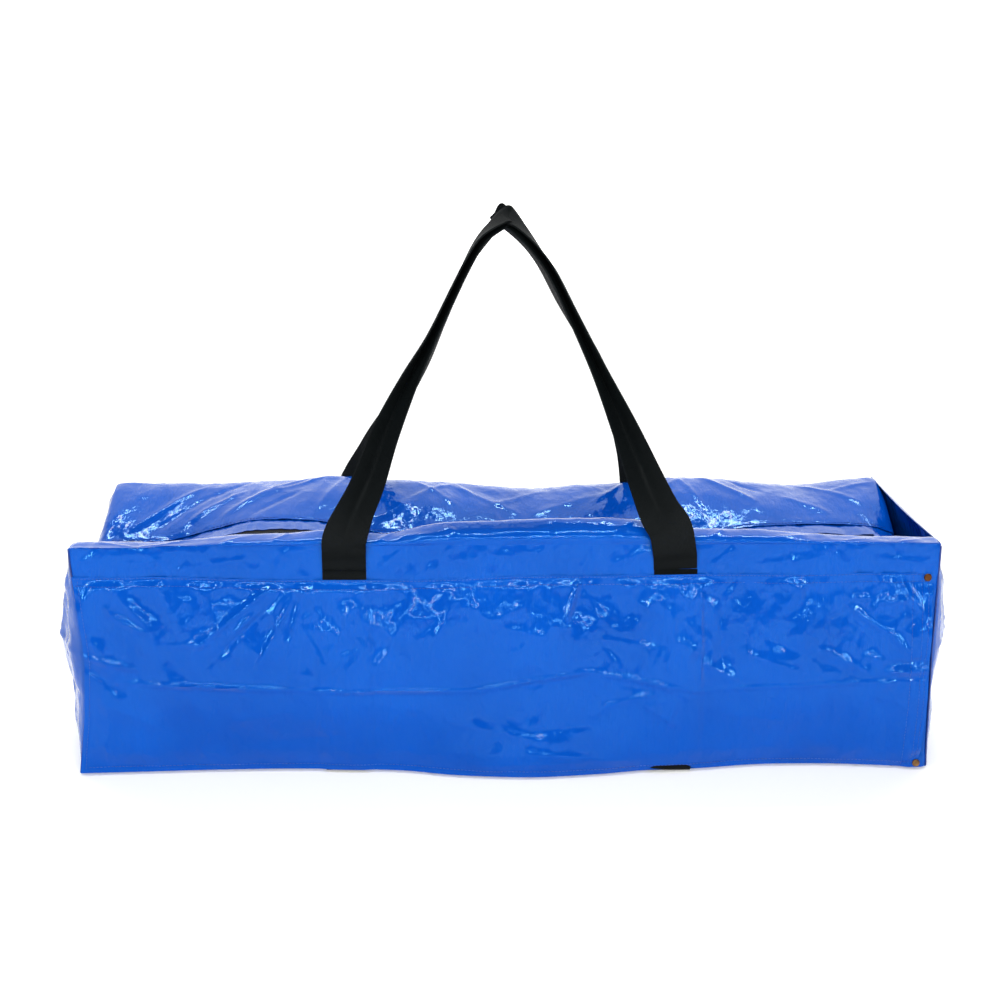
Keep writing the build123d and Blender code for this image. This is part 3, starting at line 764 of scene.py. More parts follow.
# %% Zip strips and tapes
INNER = {-1: 0.0125, 1: 0.0165}    # the strips' inner edges, from the middle of the zip


def strip_height(x, y, side):
    lap = (front_lap if side < 0 else back_lap)(x) - 0.0014
    pucker = 0.0009 * noise.noise(Vector((x / 0.007, y / 0.03, side * 3.0))) + 0.0008 * noise.noise(Vector((x / 0.03, 2, side)))
    return mix(zip_height(x), lap, ease((abs(y) - 0.004) / 0.044)) + pucker


for side, which in ((-1, "front"), (1, "back")):
    for end, hand in ((-1, "left"), (1, "right")):
        x0, x1 = (-0.4965, 0) if end < 0 else (0, 0.4965)

        def strip_place(u, v):
            x, y = mix(x0, x1, u), side * mix(INNER[side], 0.0505, v)
            return Vector((x, y, strip_height(x, y, side)))

        strip = panel(f"{which}_zip_strip_{hand}", 190, 12, (0.497, 0.038), strip_place, pvc_blue, 0.0006, flip=side < 0)
        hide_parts(f"{which}_zip_strip")
        bends_with_flap(strip)

        a0, a1 = (-0.432, 0) if end < 0 else (0, 0.432)

        def tape_place(u, v):
            x, y = mix(a0, a1, u), side * mix(0.0046, 0.0215, v)
            return Vector((x, y, strip_height(x, y, side) - 0.0011))

        tape = panel(f"{which}_zip_tape_{hand}", 160, 6, (0.43, 0.017), tape_place, zip_cloth, 0.0006, flip=side < 0)
        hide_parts(f"{which}_zip_tape")
        bends_with_flap(tape)
print("strips and tapes made")


# %% Coils
def one_turn():
    """One turn of a nylon coil: a thin ring of a few faces, squashed flat."""
    bm = bmesh.new()
    bmesh.ops.create_circle(bm, segments=5, radius=0.00055)
    bmesh.ops.rotate(bm, verts=bm.verts, cent=(0, 0, 0), matrix=Matrix.Rotation(pi / 2, 3, "X"))
    bmesh.ops.translate(bm, verts=bm.verts, vec=(0.00125, 0, 0))
    bmesh.ops.spin(bm, geom=bm.verts[:] + bm.edges[:], cent=(0, 0, 0), axis=(0, 0, 1), angle=2 * pi, steps=7, use_merge=True)
    bmesh.ops.rotate(bm, verts=bm.verts, cent=(0, 0, 0), matrix=Matrix.Rotation(pi / 2, 3, "Y"))
    bmesh.ops.scale(bm, verts=bm.verts, vec=(0.8, 1.25, 0.85))
    bmesh.ops.recalc_face_normals(bm, faces=bm.faces)
    mesh = bpy.data.meshes.new("one_turn")
    bm.to_mesh(mesh)
    bm.free()
    return mesh


turn = one_turn()


def repeat(mesh, places):
    """Copies of one small mesh, each moved by a matrix, in a single bmesh."""
    bm = bmesh.new()
    for place in places:
        before = len(bm.verts)
        bm.from_mesh(mesh)
        bm.verts.ensure_lookup_table()
        bmesh.ops.transform(bm, matrix=place, verts=bm.verts[before:])
    return bm


PITCH = 0.0023
for side, which in ((-1, "front"), (1, "back")):
    for end, hand in ((-1, "left"), (1, "right")):
        places = []
        for i in range(int(0.430 / PITCH)):
            x = end * (0.001 + i * PITCH + (PITCH / 2 if side < 0 else 0))
            places.append(Matrix.Translation((x, side * 0.0033, strip_height(x, side * 0.0046, side) - 0.0008)))
        coil = finish_mesh(f"{which}_zip_coil_{hand}", repeat(turn, places), zip_nylon)
        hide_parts(f"{which}_zip_coil")
        bends_with_flap(coil)
print("coil turns", 4 * len(places), "of", len(turn.polygons), "faces")

# %% Fixed chain ends under their tabs
for end, hand in ((-1, "left"), (1, "right")):
    low, high = lowest_highest(f"{hand}_zip_chain_end")
    inner, outer = sorted((abs(low.x), abs(high.x)))
    places = []
    for i in range(int((outer - inner - 0.002) / PITCH)):
        for side in (-1, 1):
            x = end * (inner + 0.002 + i * PITCH + (PITCH / 2 if side < 0 else 0))
            places.append(Matrix.Translation((x, side * 0.0020, top_height(x, 0) - 0.0012)))
    chain = finish_mesh(f"{hand}_chain_end", repeat(turn, places), zip_nylon)
    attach(chain, "bag")
    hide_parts(f"{hand}_zip_chain_end")

    def chain_tape_place(u, v):
        x, y = end * mix(inner + 0.001, outer, u), mix(-0.0112, 0.0112, v)
        return Vector((x, y, top_height(x, y) - 0.0024))

    tape = panel(f"{hand}_chain_tape", 40, 8, (outer - inner, 0.0224), chain_tape_place, zip_cloth, 0.0006, flip=end < 0)
    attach(tape, "bag")

    def tab_place(u, v):
        x = end * mix(0.4655, 0.5045, u)
        y = mix(-0.0165, 0.0165, v)
        edge = min(ease(v / 0.12) * ease((1 - v) / 0.12), ease(u / 0.12))
        z = top_height(max(-0.499, min(0.499, x)), y * 0.6) + 0.0008 + 0.0018 * edge
        z -= 0.0045 * ease((abs(x) - 0.495) / 0.01)
        z += 0.0005 * noise.noise(Vector((x / 0.006, y / 0.01, 2)))
        return Vector((x, y, z))

    tab = panel(f"{hand}_zip_tab", 28, 24, (0.039, 0.033), tab_place, pvc_blue, 0.0009, flip=end < 0)
    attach(tab, "bag")
    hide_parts(f"{hand}_zip_end_tab")
print("chain ends and tabs made")

# %% [markdown]
# ## End panels
# An end panel is a flat rectangle sewn round its edge. Nothing holds its middle, so it bellies out in a few broad
# facets, more at mid-height, with pleats running in from the seams, and its top edge sags with the zip.

# %% End panels
end_folds = [
    (-150, 250, -90, 150, 6, 3.0), (-120, 40, -60, 120, 7, 2.6), (-150, 150, -70, 160, 6, 2.6), (150, 250, 80, 160, 7, 3.0),
    (140, 40, 70, 110, 7, 2.6), (-60, 230, 20, 120, 8, -2.6), (60, 220, 30, 90, 7, 2.2), (-20, 20, 10, 100, 9, 2.0),
    (-152, 100, -60, 104, 5, -2.6), (-50, 104, 80, 96, 7, -2.0),
]


right_corners = (top_height(0.4985, -0.148), top_height(0.4985, 0.155))     # its upper edge is pulled straight


def end_place(end):
    def place(u, v):
        y0 = front_wall_y(end * 0.499, max(0.003, 0.27 * v)) + 0.0006
        y1 = mix(back_foot(end * 0.5), 0.1640, ease(v / 0.45)) - 0.0006
        y = mix(y0, y1, u)
        top = top_height(end * 0.4985, max(-0.1583, min(0.1643, y))) - 0.0008
        if end > 0:
            top = max(top, mix(right_corners[0], right_corners[1], u) - 0.004 * sin(pi * u))
        z = mix(0.0035, top, v)
        inset = end_seam_in(z) * mix(1.0 if end < 0 else 0.2, 0.6, u)
        rim = min(u, 1 - u, v, 1 - v)
        dome = (max(0.0, sin(pi * u)) ** 0.62) * (max(0.0, sin(pi * v)) ** 0.55)
        bulge = 0.028 * dome + 0.011 * dome * exp(-(((z - 0.165) / 0.080) ** 2)) * exp(-(((y + 0.08) / 0.1) ** 2))
        bulge -= 0.007 * dome * exp(-(((z - 0.098) / 0.025) ** 2))
        calm = ease(rim / 0.05)
        lift = fold_at(y, z, end_folds) + waves(y, z, 40 + end, 0.09, 0.0035) + 1.1 * crumple(y, z, 50 + end, 0.035, 0.0026)
        out = bulge + calm * lift + inset * dome * 0.8
        curl = exp(-rim * 0.3 / 0.002)
        return Vector((end * (0.5 - inset + max(0.0, out) - 0.0012 * curl), y, z))
    return place


for end, hand in ((-1, "left"), (1, "right")):
    end_sheet = panel(f"{hand}_end_sheet", 130, 110, (0.32, 0.27), end_place(end), pvc_blue, flip=end < 0)
    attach(end_sheet, "bag")
    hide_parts(f"{hand}_end_panel")
    print(hand, "end bellies to x", round(max(abs(v.co.x) for v in end_sheet.data.vertices), 4))

# %% [markdown]
# ## Seams at the four corners
# The end panels are sewn to the walls with the edges inside, which leaves a tight groove in shade. A thin round
# welt, drawn out along each seam, sits half sunk in the groove; its dark blue is painted shade, the groove's shadow as
# a line.

# %% Corner welts
# seam_shadow is painted shade: a dark blue that stands for the shadow in the corner seams' grooves.
seam_shadow = make_plain_material("seam_shadow", (0.0, 0.012, 0.12, 1), (0.0, 0.035, 0.24, 1), 0.5, grain=900, high=0.0002)


def welt(name, points, radius, material):
    """A thin round bead: one circle, extruded from place to place."""
    bm = bmesh.new()
    bmesh.ops.create_circle(bm, cap_ends=True, segments=8, radius=radius)
    bmesh.ops.translate(bm, verts=bm.verts, vec=points[0])
    ring = bm.faces[:]
    for before, after in zip(points, points[1:]):
        moved = bmesh.ops.extrude_face_region(bm, geom=ring)
        verts = [v for v in moved["geom"] if isinstance(v, bmesh.types.BMVert)]
        bmesh.ops.translate(bm, verts=verts, vec=after - before)
        bmesh.ops.delete(bm, geom=ring, context="FACES_ONLY") if ring[0].is_valid and before is not points[0] else None
        ring = [f for f in moved["geom"] if isinstance(f, bmesh.types.BMFace)]
    bmesh.ops.recalc_face_normals(bm, faces=bm.faces[:])
    return finish_mesh(name, bm, material)


for end, hand in ((-1, "left"), (1, "right")):
    for side, which in ((-1, "front"), (1, "back")):
        points = []
        for i in range(61):
            z = mix(0.004, 0.276, i / 60)
            share = (1.0 if end < 0 else 0.2) if side < 0 else 0.6
            x = end * (0.5 - end_seam_in(z) * share)
            y = front_wall_y(end * 0.5, z) + 0.0006 if side < 0 else mix(back_foot(end * 0.5), 0.1640, ease(z / 0.12)) - 0.0006
            points.append(Vector((x, y, z)))
        # Each welt is a dark bead in its groove, painted shade standing in for the groove's shadow.
        bead = welt(f"{which}_{hand}_seam", points, 0.0011, seam_shadow)
        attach(bead, "bag")
print("corner welts made")

# %% [markdown]
# ## Webbing: belly straps and handles
# One length of webbing runs from handle to handle under the bag. It is flat on the bag, so it is a ribbon that
# follows a line, and a handle is the same ribbon that leaves the ridge, leans to the middle and is folded
# lengthwise in the hand. Each place along it says where its middle is, how far its wings are folded, and how
# far the folded webbing is turned about its own line.

# %% A ribbon along a line
WEB_WIDE, WEB_THICK = 0.050, 0.0019


def smooth_row(rows, t):
    """Catmull-Rom through rows of numbers, t from 0 to 1."""
    n = len(rows) - 1
    i = min(int(t * n), n - 1)
    s = t * n - i
    p = [rows[max(i - 1, 0)], rows[i], rows[i + 1], rows[min(i + 2, n)]]
    return [
        0.5 * (2 * b + (c - a) * s + (2 * a - 5 * b + 4 * c - d) * s * s + (3 * b - 3 * c + d - a) * s**3)
        for a, b, c, d in zip(*p)
    ]


def ribbon(name, rows, cells, out_at, thick=WEB_THICK, width=WEB_WIDE, across_cells=16):
    """rows: (x, y, z, fold, turn) with angles in degrees; out_at(t) points away from the bag."""
    samples = [smooth_row(rows, i / cells) for i in range(cells + 1)]
    points = [Vector(s[:3]) for s in samples]
    along = [0.0]
    for a, b in zip(points, points[1:]):
        along.append(along[-1] + (b - a).length)

    def place(u, v):
        i = min(int(round(v * cells)), cells)
        before, after = points[max(i - 1, 0)], points[min(i + 1, cells)]
        line = (after - before).normalized()
        out = out_at(v)
        out = (out - line * out.dot(line)).normalized()
        across = line.cross(out)
        fold, turned = radians(samples[i][3]), radians(samples[i][4])
        wing = out * cos(turned) + across * sin(turned)       # where folded wings point
        flat = across * cos(turned) - out * sin(turned)
        a = (u - 0.5) * width
        soft = 0.0028 * sin(fold)
        reach = sqrt(a * a + soft * soft) - soft
        return points[i] + flat * a * cos(fold) + wing * reach * sin(fold) \
            + flat * (a / (width / 2)) * soft * 0.5 + out * 0.00025 * noise.noise(Vector((a / 0.02, along[i] / 0.05, 1)))

    bm = panel_bmesh(across_cells, cells, (width, along[-1]), place, 0)
    thicken(bm, thick)
    return bm, along[-1]


def strap_piece(name, rows, cells, out_at, **more):
    bm, length = ribbon(name, rows, cells, out_at, **more)
    piece = finish_mesh(name, bm, webbing_black)
    return piece, length


# %% Belly straps
def belly_rows(x):
    """Down the front, under the belly, up the back."""
    rows = []
    for z in (0.2500, 0.236, 0.19, 0.15, 0.11, 0.07, 0.035, 0.012):
        rows.append((x, front_wall_y(x, z) - 0.0022, z, 0, 0))
    foot = front_foot(x) + 0.003
    rows.append((x, foot + 0.003, 0.0012, 0, 0))
    for share in (0.08, 0.2, 0.35, 0.5, 0.65, 0.8, 0.92):
        rows.append((x, mix(foot, back_foot(x), share), 0.0006, 0, 0))
    rows.append((x, back_foot(x) - 0.0015, 0.0012, 0, 0))
    for z in (0.012, 0.035, 0.07, 0.11, 0.15, 0.19, 0.236, 0.2500):
        bow = 0.004 * exp(-((z - 0.115) / 0.06) ** 2) * ease((z - 0.002) / 0.02)
        rows.append((x, mix(back_foot(x), 0.1640, ease(z / 0.12)) + 0.0052 + bow, z, 0, 0))
    return rows


def belly_out(t):
    if t < 0.36:
        return Vector((0, -1, 0))
    if t > 0.64:
        return Vector((0, 1, 0))
    return Vector((0, 0, -1))


for end, hand, x in ((-1, "left", -0.188), (1, "right", 0.1925)):
    rows = belly_rows(x)
    n = len(rows) - 1

    def out_here(t, n=n):
        i = t * n
        if i < 7.3:
            return Vector((0, -1, 0))
        if i < 8.7:
            a = (i - 7.3) / 1.4 * pi / 2
            return Vector((0, -cos(a), -sin(a)))
        if i < 15.3:
            return Vector((0, 0, -1))
        if i < 16.7:
            a = (i - 15.3) / 1.4 * pi / 2
            return Vector((0, sin(a), -cos(a)))
        return Vector((0, 1, 0))

    strap, length = strap_piece(f"{hand}_belly_webbing", rows, 240, out_here)
    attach(strap, "bag")
    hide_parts(f"{hand}_belly_strap")
    print(hand, "belly webbing", round(length, 3), "m")

# %% Handles
def handle_rows(side):
    """One handle from its left foot over the top to its right foot."""
    foot_y = -0.1612 if side < 0 else 0.1672
    if side < 0:
        left = [
            (-0.1880, foot_y - 0.0004, 0.2505, 0, 0), (-0.1880, foot_y - 0.0020, 0.262, 0, 0),
            (-0.1880, foot_y - 0.0018, 0.272, 2, 0), (-0.1868, -0.1640, 0.289, 14, 0),
            (-0.1765, -0.1545, 0.316, 38, 0), (-0.1600, -0.1380, 0.351, 48, 0), (-0.1405, -0.1160, 0.404, 58, 0),
            (-0.1150, -0.0930, 0.458, 72, 0), (-0.0905, -0.0730, 0.502, 82, 0), (-0.0700, -0.0550, 0.543, 84, 2),
            (-0.0500, -0.0390, 0.586, 85, 8), (-0.0330, -0.0245, 0.617, 86, 18), (-0.0120, -0.0130, 0.641, 87, 46),
            (-0.0010, -0.0100, 0.6500, 87, 80), (0.0040, -0.0098, 0.6518, 87, 88),
        ]
        right = [
            (0.0085, -0.0100, 0.6485, 87, 80), (0.0205, -0.0140, 0.6330, 86, 40), (0.0385, -0.0250, 0.605, 85, 14),
            (0.0555, -0.0380, 0.577, 84, 6), (0.0775, -0.0600, 0.530, 82, 2), (0.1085, -0.0880, 0.464, 75, 0),
            (0.1345, -0.1150, 0.406, 60, 0), (0.1585, -0.1400, 0.348, 42, 0), (0.1720, -0.1560, 0.318, 28, 0),
            (0.1842, -0.1665, 0.298, 8, 0), (0.1900, foot_y - 0.0030, 0.272, 2, 0),
            (0.1913, foot_y - 0.0024, 0.262, 0, 0), (0.1918, foot_y - 0.0006, 0.2505, 0, 0),
        ]
    else:
        left = [
            (-0.1880, foot_y, 0.2505, 0, 0), (-0.1875, foot_y + 0.0012, 0.270, 4, 0), (-0.1810, 0.1700, 0.288, 28, 0),
            (-0.1680, 0.1600, 0.316, 46, 0), (-0.1525, 0.1420, 0.351, 60, 0), (-0.1230, 0.1190, 0.404, 72, 0),
            (-0.0970, 0.0970, 0.452, 79, 0), (-0.0775, 0.0780, 0.500, 82, -1), (-0.0605, 0.0580, 0.543, 84, -4),
            (-0.0430, 0.0410, 0.584, 85, -10), (-0.0255, 0.0260, 0.615, 86, -22), (-0.0125, 0.0140, 0.640, 87, -52),
            (-0.0075, 0.0105, 0.6500, 87, -80), (-0.0040, 0.0100, 0.6530, 87, -88),
        ]
        right = [
            (0.0005, 0.0105, 0.6500, 87, -80), (0.0150, 0.0150, 0.6330, 86, -46), (0.0340, 0.0260, 0.605, 85, -18),
            (0.0520, 0.0400, 0.576, 84, -8), (0.0760, 0.0610, 0.530, 82, -2), (0.1150, 0.0890, 0.464, 80, 0),
            (0.1425, 0.1160, 0.404, 72, 0), (0.1670, 0.1420, 0.348, 58, 0), (0.1790, 0.1600, 0.318, 42, 0),
            (0.1860, 0.1700, 0.290, 24, 0), (0.1880, foot_y + 0.0012, 0.270, 2, 0), (0.1880, foot_y, 0.2505, 0, 0),
        ]
    return left + right


for side, which in ((-1, "front"), (1, "back")):
    rows = handle_rows(side)

    def handle_out(t, side=side):
        return Vector((0, side, 0.0))

    handle, length = strap_piece(f"{which}_handle_ribbon", rows, 300, handle_out)
    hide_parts(f"{which}_handle_webbing")
    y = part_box(f"{which}_handle_webbing")[0 if side < 0 else 1][1]
    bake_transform(handle)
    print(which, "handle", round(length, 3), "m")

# %% [markdown]
# ## Hook and loop in the pocket's mouth
# The loop strip is sewn to the wall and the hook strip to the inside of the pocket's sheet. They are cut tape: a
# thin woven back with a pile, so each is a thin rounded bar that follows the sheet it is sewn to.

# %% The two closing strips
loop_low, loop_high = lowest_highest("pocket_loop_strip")


def closing_place(y_at, x0, x1, z0, z1):
    def place(u, v):
        x, z = mix(x0, x1, u), mix(z0, z1, v)
        return Vector((x, y_at(x, z), z))
    return place


loop_strip = panel(
    "loop_strip", 14, 120, (0.018, 0.185),
    closing_place(lambda x, z: front_wall_y(x, z) - 0.0014, loop_low.x, loop_high.x, loop_low.z, loop_high.z),
    loop_tape, 0.0013)
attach(loop_strip, "bag")
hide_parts("pocket_loop_strip")
hook_low, hook_high = lowest_highest("pocket_hook_strip")
hook_halves = []
for name, z0, z1, held in (
    ("hook_strip_lower", hook_low.z, MOUTH_MIDDLE, 0.010), ("hook_strip_upper", MOUTH_MIDDLE, hook_high.z, SEAM_Z - 0.008)):
    hook = panel(
        name, 14, 60, (0.018, z1 - z0),
        closing_place(lambda x, z: pocket_y(x, z) + 0.0009 + 0.0003, hook_low.x, hook_high.x, z0, z1), hook_tape, 0.0012)
    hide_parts("pocket_hook_strip")
    mix(held, MOUTH_MIDDLE, 0.75)
    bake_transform(hook)
    hook_halves.append(hook)
print("closing strips", round(loop_high.z - loop_low.z, 3), "m long")

# %% [markdown]
# ## Stitching
# Lockstitch in blue thread holds the pocket and its hems. Each stitch is a short rounded bar, thick as the thread
# and sunk by half into the sheet, and there are hundreds, so each has only a dozen faces.

# %% One stitch, and rows of it
def one_stitch(length=0.0031, thick=0.00075):
    bm = bmesh.new()
    bmesh.ops.create_circle(bm, cap_ends=True, segments=5, radius=thick / 2)
    top = bmesh.ops.extrude_face_region(bm, geom=bm.faces[:])
    bmesh.ops.translate(bm, vec=(0, 0, length * 0.5), verts=[v for v in top["geom"] if isinstance(v, bmesh.types.BMVert)])
    bmesh.ops.translate(bm, vec=(0, 0, -length * 0.25), verts=bm.verts)
    rings = bmesh.ops.inset_region(bm, faces=[f for f in bm.faces if abs(f.normal.z) > 0.9], thickness=thick * 0.18, depth=0)
    for vert in bm.verts:
        if hypot(vert.co.x, vert.co.y) < thick * 0.40:
            vert.co.z *= 2.0
    bmesh.ops.recalc_face_normals(bm, faces=bm.faces)
    mesh = bpy.data.meshes.new("one_stitch")
    bm.to_mesh(mesh)
    bm.free()
    return mesh


stitch = one_stitch()
STITCH_PITCH = 0.0042


def stitch_places(path, length):
    """Matrices for stitches along path(t), which gives a point and the way out of the sheet."""
    count = max(2, int(length / STITCH_PITCH))
    places = []
    for i in range(count):
        t = (i + 0.5) / count
        here, out = path(t)
        ahead, _ = path(min(1, t + 0.3 / count))
        line = (ahead - here).normalized()
        side = out.cross(line).normalized()
        up = line.cross(side)
        turn = Matrix((side, up, line)).transposed().to_4x4()
        places.append(Matrix.Translation(here + out * 0.00012) @ turn)
    return places


def stitched(name, paths, thread, body=None, bend=None):
    places = []
    for path, length in paths:
        places += stitch_places(path, length)
    piece = finish_mesh(name, repeat(stitch, places), thread)
    if body:
        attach(piece, body)
    if bend:
        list(bend[:2])
        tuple(bend[2])
        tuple(bend[3])
        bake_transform(piece)
    print(name, len(places), "stitches")
    return piece


OUT_FRONT = Vector((0, -1, 0))


def on_pocket(x_at, z_at):
    """A path on the pocket's face, from x and z as functions of t."""
    def path(t):
        x, z = x_at(t), z_at(t)
        return Vector((x, pocket_y(x, z), z - seam_sag(x, z))), OUT_FRONT
    return path


def level(z, x0, x1):
    return on_pocket(lambda t: mix(x0, x1, t), lambda t: z), abs(x1 - x0)


def upright(x, z0, z1):
    return on_pocket(lambda t: x, lambda t: mix(z0, z1, t)), abs(z1 - z0)


rows_main = [level(SEAM_Z - 0.0020, -0.4965, MOUTH_X), level(SEAM_Z - 0.0105, -0.4945, MOUTH_X),
             level(0.0105, -0.49, MOUTH_X),
             (on_pocket(lambda t: left_edge(mix(0.008, SEAM_Z - 0.004, t)) + 0.006, lambda t: mix(0.008, SEAM_Z - 0.004, t)), 0.235)]
stitched("pocket_main_stitches", rows_main, blue_thread, body="bag")
for name, z0, z1, held in (("mouth_lower_stitches", 0.006, MOUTH_MIDDLE, 0.010), ("mouth_upper_stitches", MOUTH_MIDDLE, SEAM_Z - 0.003, SEAM_Z - 0.008)):
    columns = [upright(0.4690, z0, z1), upright(0.4805, z0, z1),
               (on_pocket(lambda t, a=z0, b=z1: pocket_right_edge(mix(a, b, t)) - 0.0045, lambda t, a=z0, b=z1: mix(a, b, t)), z1 - z0)]
    if z0 < 0.1:
        columns += [level(0.0105, MOUTH_X, 0.488), level(0.0120, 0.469, 0.480)]
    else:
        columns += [level(SEAM_Z - 0.0020, MOUTH_X, 0.4915), level(SEAM_Z - 0.0105, MOUTH_X, 0.4905),
                    level(SEAM_Z - 0.0030, 0.481, 0.4915), level(SEAM_Z - 0.0055, 0.481, 0.4915)]
    stitched(name, columns, blue_thread,
             bend=("bag", "pocket_mouth", (0.42, -0.165, held), (0.42, -0.165, mix(held, MOUTH_MIDDLE, 0.75))))


def on_lap(side, x0, x1, y):
    def path(t):
        x = mix(x0, x1, t)
        section = (front_section if side < 0 else back_section)(x)
        lap, up = section[-1], section[-2]
        share = (abs(y) - abs(lap[0])) / (abs(up[0]) - abs(lap[0]))
        return Vector((x, side * abs(y), mix(lap[1], up[1], share * 0.92) + 0.0006)), Vector((0, -side * 0.2, 1)).normalized()
    return path


for side, which in ((-1, "front"), (1, "back")):
    for end, hand in ((-1, "left"), (1, "right")):
        path = on_lap(side, end * 0.49, 0.001 * end, 0.0465)
        stitched(f"{which}_lap_stitches_{hand}", [(path, 0.488)], blue_thread,
                 bend=("bag", "front_flap" if side < 0 else "back_flap",
                       (end * BAG_AT, side * 0.1566, 0.28), (end * FLAP_AT, side * 0.1566, 0.28)))

# %% [markdown]
# ## Rivets
# A domed cap and an inner ring hold each corner of the pocket's mouth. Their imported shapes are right, so they
# stay and get an antique finish: copper brown in the hollows and brighter where they rub.

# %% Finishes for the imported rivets
for node, finish in (("pocket_rivets", antique_brass), ("pocket_rivet_burrs", burr_brass)):
    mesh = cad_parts[node].data
    mesh.materials.clear()
    mesh.materials.append(finish)
print("rivets keep their packed shape")

# %% [markdown]
# ## Slider and pull
# A small cast slider rests on the fixed end of the zip. It is two plates joined by a wedge, with side flanges
# that steer the coil and a loop over its top. The pull hangs from the loop: a flat tongue with a rounded end,
# an eye, and a ribbed grip.

# %% The slider
slider_low, slider_high = lowest_highest("zip_slider")
slider_mid = (slider_low + slider_high) / 2
SINK = 0.0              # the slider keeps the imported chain's height


def plate_bmesh(length, width, thick, taper, bevel):
    bm = bmesh.new()
    bmesh.ops.create_cube(bm, size=1.0)
    bmesh.ops.scale(bm, verts=bm.verts, vec=(length, width, thick))
    for vert in bm.verts:
        if vert.co.x < 0:
            vert.co.y *= taper
    uprights = [e for e in bm.edges if abs(e.verts[0].co.z - e.verts[1].co.z) > thick * 0.5]
    bmesh.ops.bevel(bm, geom=uprights, offset=width * 0.28, offset_type="OFFSET", segments=4, profile=0.5,
                    affect="EDGES", material=-1)
    rims = [e for e in bm.edges if len(e.link_faces) == 2 and e.calc_face_angle(0) > 0.9]
    bmesh.ops.bevel(bm, geom=rims, offset=bevel, offset_type="OFFSET", segments=2, profile=0.5,
                    affect="EDGES", material=-1)
    return bm


def merge(target, source, move):
    before = len(target.verts)
    mesh = bpy.data.meshes.new("part")
    source.to_mesh(mesh)
    source.free()
    target.from_mesh(mesh)
    bpy.data.meshes.remove(mesh)
    target.verts.ensure_lookup_table()
    bmesh.ops.transform(target, matrix=move, verts=target.verts[before:])


slider_bm = bmesh.new()
long_x = slider_high.x - slider_low.x
wide_y = min(0.0135, slider_high.y - slider_low.y)
plate_z = slider_low.z + SINK
for lift in (0.0006, 0.0046):
    merge(slider_bm, plate_bmesh(long_x * 0.98, wide_y * 0.98, 0.0011, 0.72, 0.00025),
          Matrix.Translation((slider_mid.x, slider_mid.y, plate_z + lift)))
for y in (-1, 1):
    merge(slider_bm, plate_bmesh(long_x * 0.72, 0.0012, 0.0016, 1.0, 0.0002),
          Matrix.Translation((slider_mid.x, slider_mid.y + y * (wide_y / 2 - 0.0007), plate_z + 0.0036)))
merge(slider_bm, plate_bmesh(0.004, 0.0028, 0.0040, 0.4, 0.0003),
      Matrix.Translation((slider_mid.x + long_x * 0.36, slider_mid.y, plate_z + 0.0026)))
loop_bm = bmesh.new()
bmesh.ops.create_circle(loop_bm, segments=10, radius=0.0009)
bmesh.ops.translate(loop_bm, verts=loop_bm.verts, vec=(0.0042, 0, 0))
bmesh.ops.spin(loop_bm, geom=loop_bm.verts[:] + loop_bm.edges[:], cent=(0, 0, 0), axis=(0, 1, 0), angle=-pi, steps=16)
bmesh.ops.scale(loop_bm, verts=loop_bm.verts, vec=(1.0, 1.3, 0.72))
bmesh.ops.recalc_face_normals(loop_bm, faces=loop_bm.faces)
merge(slider_bm, loop_bm, Matrix.Translation((slider_mid.x, slider_mid.y, plate_z + 0.0048)))
slider = finish_mesh("slider_body", slider_bm, painted_zinc)
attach(slider, "zip_slider")
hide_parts("zip_slider")

# %% The pull
pull_low, pull_high = lowest_highest("zip_pull")
pull_bm = plate_bmesh(pull_high.x - pull_low.x, pull_high.y - pull_low.y, 0.0014, 0.8, 0.0003)
faces = [f for f in pull_bm.faces if f.normal.z > 0.9 and f.calc_area() > 1e-5]
bmesh.ops.inset_region(pull_bm, faces=faces, thickness=0.0012, depth=-0.0004)
for rib in range(5):
    merge(pull_bm, plate_bmesh(0.0009, 0.0044, 0.0007, 1.0, 0.00015),
          Matrix.Translation((-0.004 - rib * 0.0022, 0, 0.0005)))
pull = finish_mesh("pull_tongue", pull_bm, painted_zinc)
pull.data.transform(Matrix.Translation(((pull_low.x + pull_high.x) / 2, (pull_low.y + pull_high.y) / 2,
                                        (pull_low.z + pull_high.z) / 2 + SINK)))
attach(pull, "zip_pull")
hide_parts("zip_pull")
print("slider", [round(v * 1000, 1) for v in slider_low], "to", [round(v * 1000, 1) for v in slider_high])

# %% [markdown]
# ## Floor, light and camera
# A pale floor runs up into a pale wall behind, so there is no horizon. Strip lights above and in front give the
# sheet its narrow white highlights, and a broad weak one overhead fills it, because a glossy sheet shows what it faces.

# %% Floor
g = Graph("studio_paper")
paper = g.finish(Base_Color=(0.93, 0.93, 0.93, 1), Roughness=0.95, Specular_IOR_Level=0.0,
                 Emission_Color=(1, 1, 1, 1), Emission_Strength=0.26)
floor_bm = bmesh.new()
bmesh.ops.create_grid(floor_bm, x_segments=1, y_segments=1, size=9)
bmesh.ops.translate(floor_bm, verts=floor_bm.verts, vec=(0, 0, -0.0006))
floor = finish_mesh("studio_floor", floor_bm, paper)
wall_bm = bmesh.new()
bmesh.ops.create_grid(wall_bm, x_segments=1, y_segments=1, size=9)
bmesh.ops.rotate(wall_bm, verts=wall_bm.verts, cent=(0, 0, 0), matrix=Matrix.Rotation(pi / 2, 3, "X"))
bmesh.ops.translate(wall_bm, verts=wall_bm.verts, vec=(0, 6, 8.9))
g = Graph("studio_wall")
glow = g.finish(Base_Color=(0.9, 0.9, 0.9, 1), Roughness=0.95, Emission_Color=(1, 1, 1, 1), Emission_Strength=1.1)
backdrop = finish_mesh("studio_wall", wall_bm, glow)
world = bpy.data.worlds.new("studio")
world.use_nodes = True
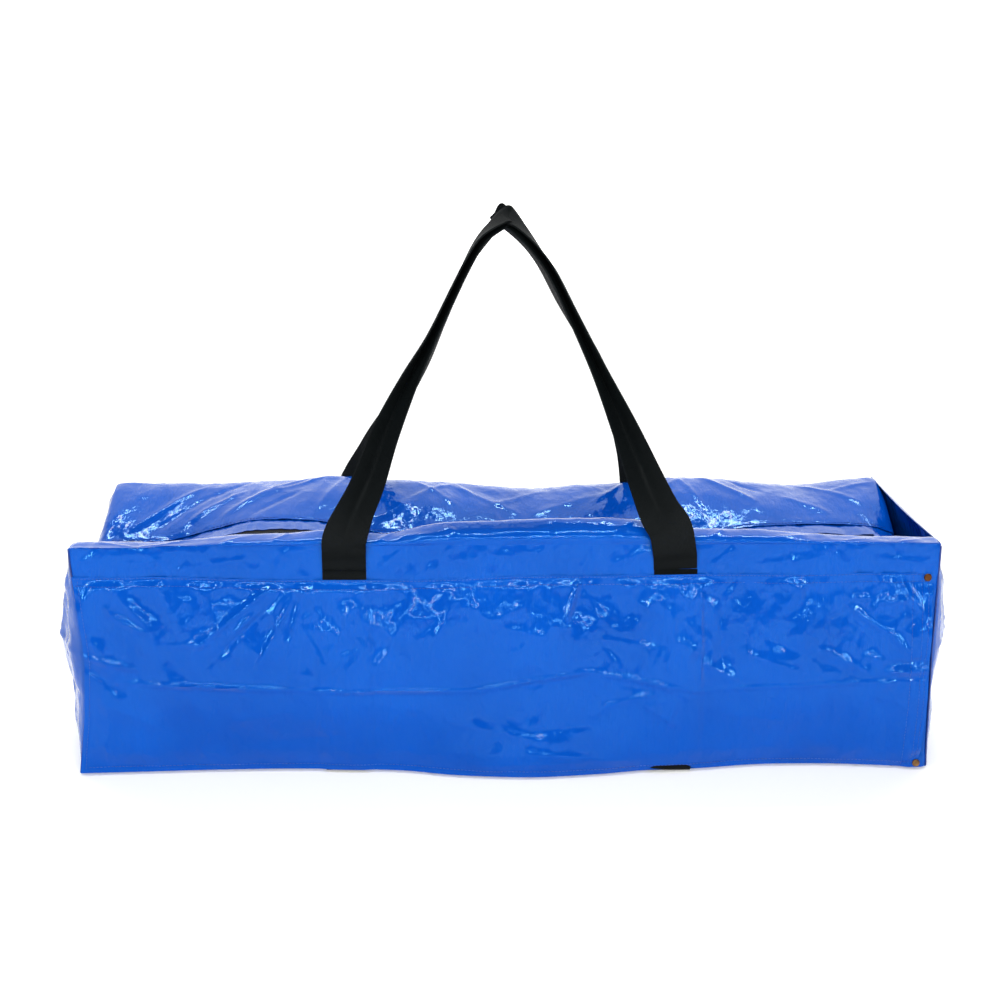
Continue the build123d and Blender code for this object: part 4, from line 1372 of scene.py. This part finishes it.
world.node_tree.nodes["Background"].inputs["Color"].default_value = (1, 1, 1, 1)
world.node_tree.nodes["Background"].inputs["Strength"].default_value = 0.16
bpy.context.scene.world = world
bpy.context.scene.view_settings.view_transform = "Standard"


# %% Lights
def softbox(name, place, target, wide, tall, watts):
    light = bpy.data.lights.new(name, "AREA")
    light.shape, light.size, light.size_y, light.energy = "RECTANGLE", wide, tall, watts
    lamp = bpy.data.objects.new(name, light)
    bpy.context.collection.objects.link(lamp)
    lamp.location = place
    lamp.rotation_euler = (Vector(target) - Vector(place)).to_track_quat("-Z", "Y").to_euler()
    return lamp


softbox("overhead", (0, 0, 4.6), (0, 0, 0), 10, 10, 50)
softbox("overhead_strip", (0.0, 0.6, 2.3), (0, 0, 0.25), 2.2, 0.06, 30)
softbox("high_front_strip", (-0.3, -1.5, 2.4), (0, 0, 0.2), 1.8, 0.05, 30)
softbox("middle_front_strip", (0.3, -3.0, 1.6), (0, 0, 0.15), 2.0, 0.05, 28)
softbox("low_front_strip", (-0.1, -3.0, 0.75), (0, 0, 0.15), 2.6, 0.035, 16)
softbox("left_strip", (-1.7, -2.5, 0.75), (-0.2, 0, 0.15), 0.06, 0.7, 16)
softbox("right_strip", (1.7, -2.5, 0.75), (0.2, 0, 0.15), 0.06, 0.7, 16)

# %% Camera
eye = Vector((-0.0856, -2.0650, 0.7796))
look = (Vector((-0.0041, 0, 0.2946)) - eye).normalized()
right = look.cross(Vector((0, 0, 1))).normalized()
up = right.cross(look)
tilt = radians(0.36)
r2, u2 = right * cos(tilt) + up * sin(tilt), up * cos(tilt) - right * sin(tilt)
camera_data = bpy.data.cameras.new("camera")
camera_data.lens, camera_data.sensor_width = 62.1, 36.0
camera = bpy.data.objects.new("camera", camera_data)
bpy.context.collection.objects.link(camera)
camera.matrix_world = Matrix((
    (r2.x, u2.x, -look.x, eye.x), (r2.y, u2.y, -look.y, eye.y), (r2.z, u2.z, -look.z, eye.z), (0, 0, 0, 1)))
bpy.context.scene.camera = camera
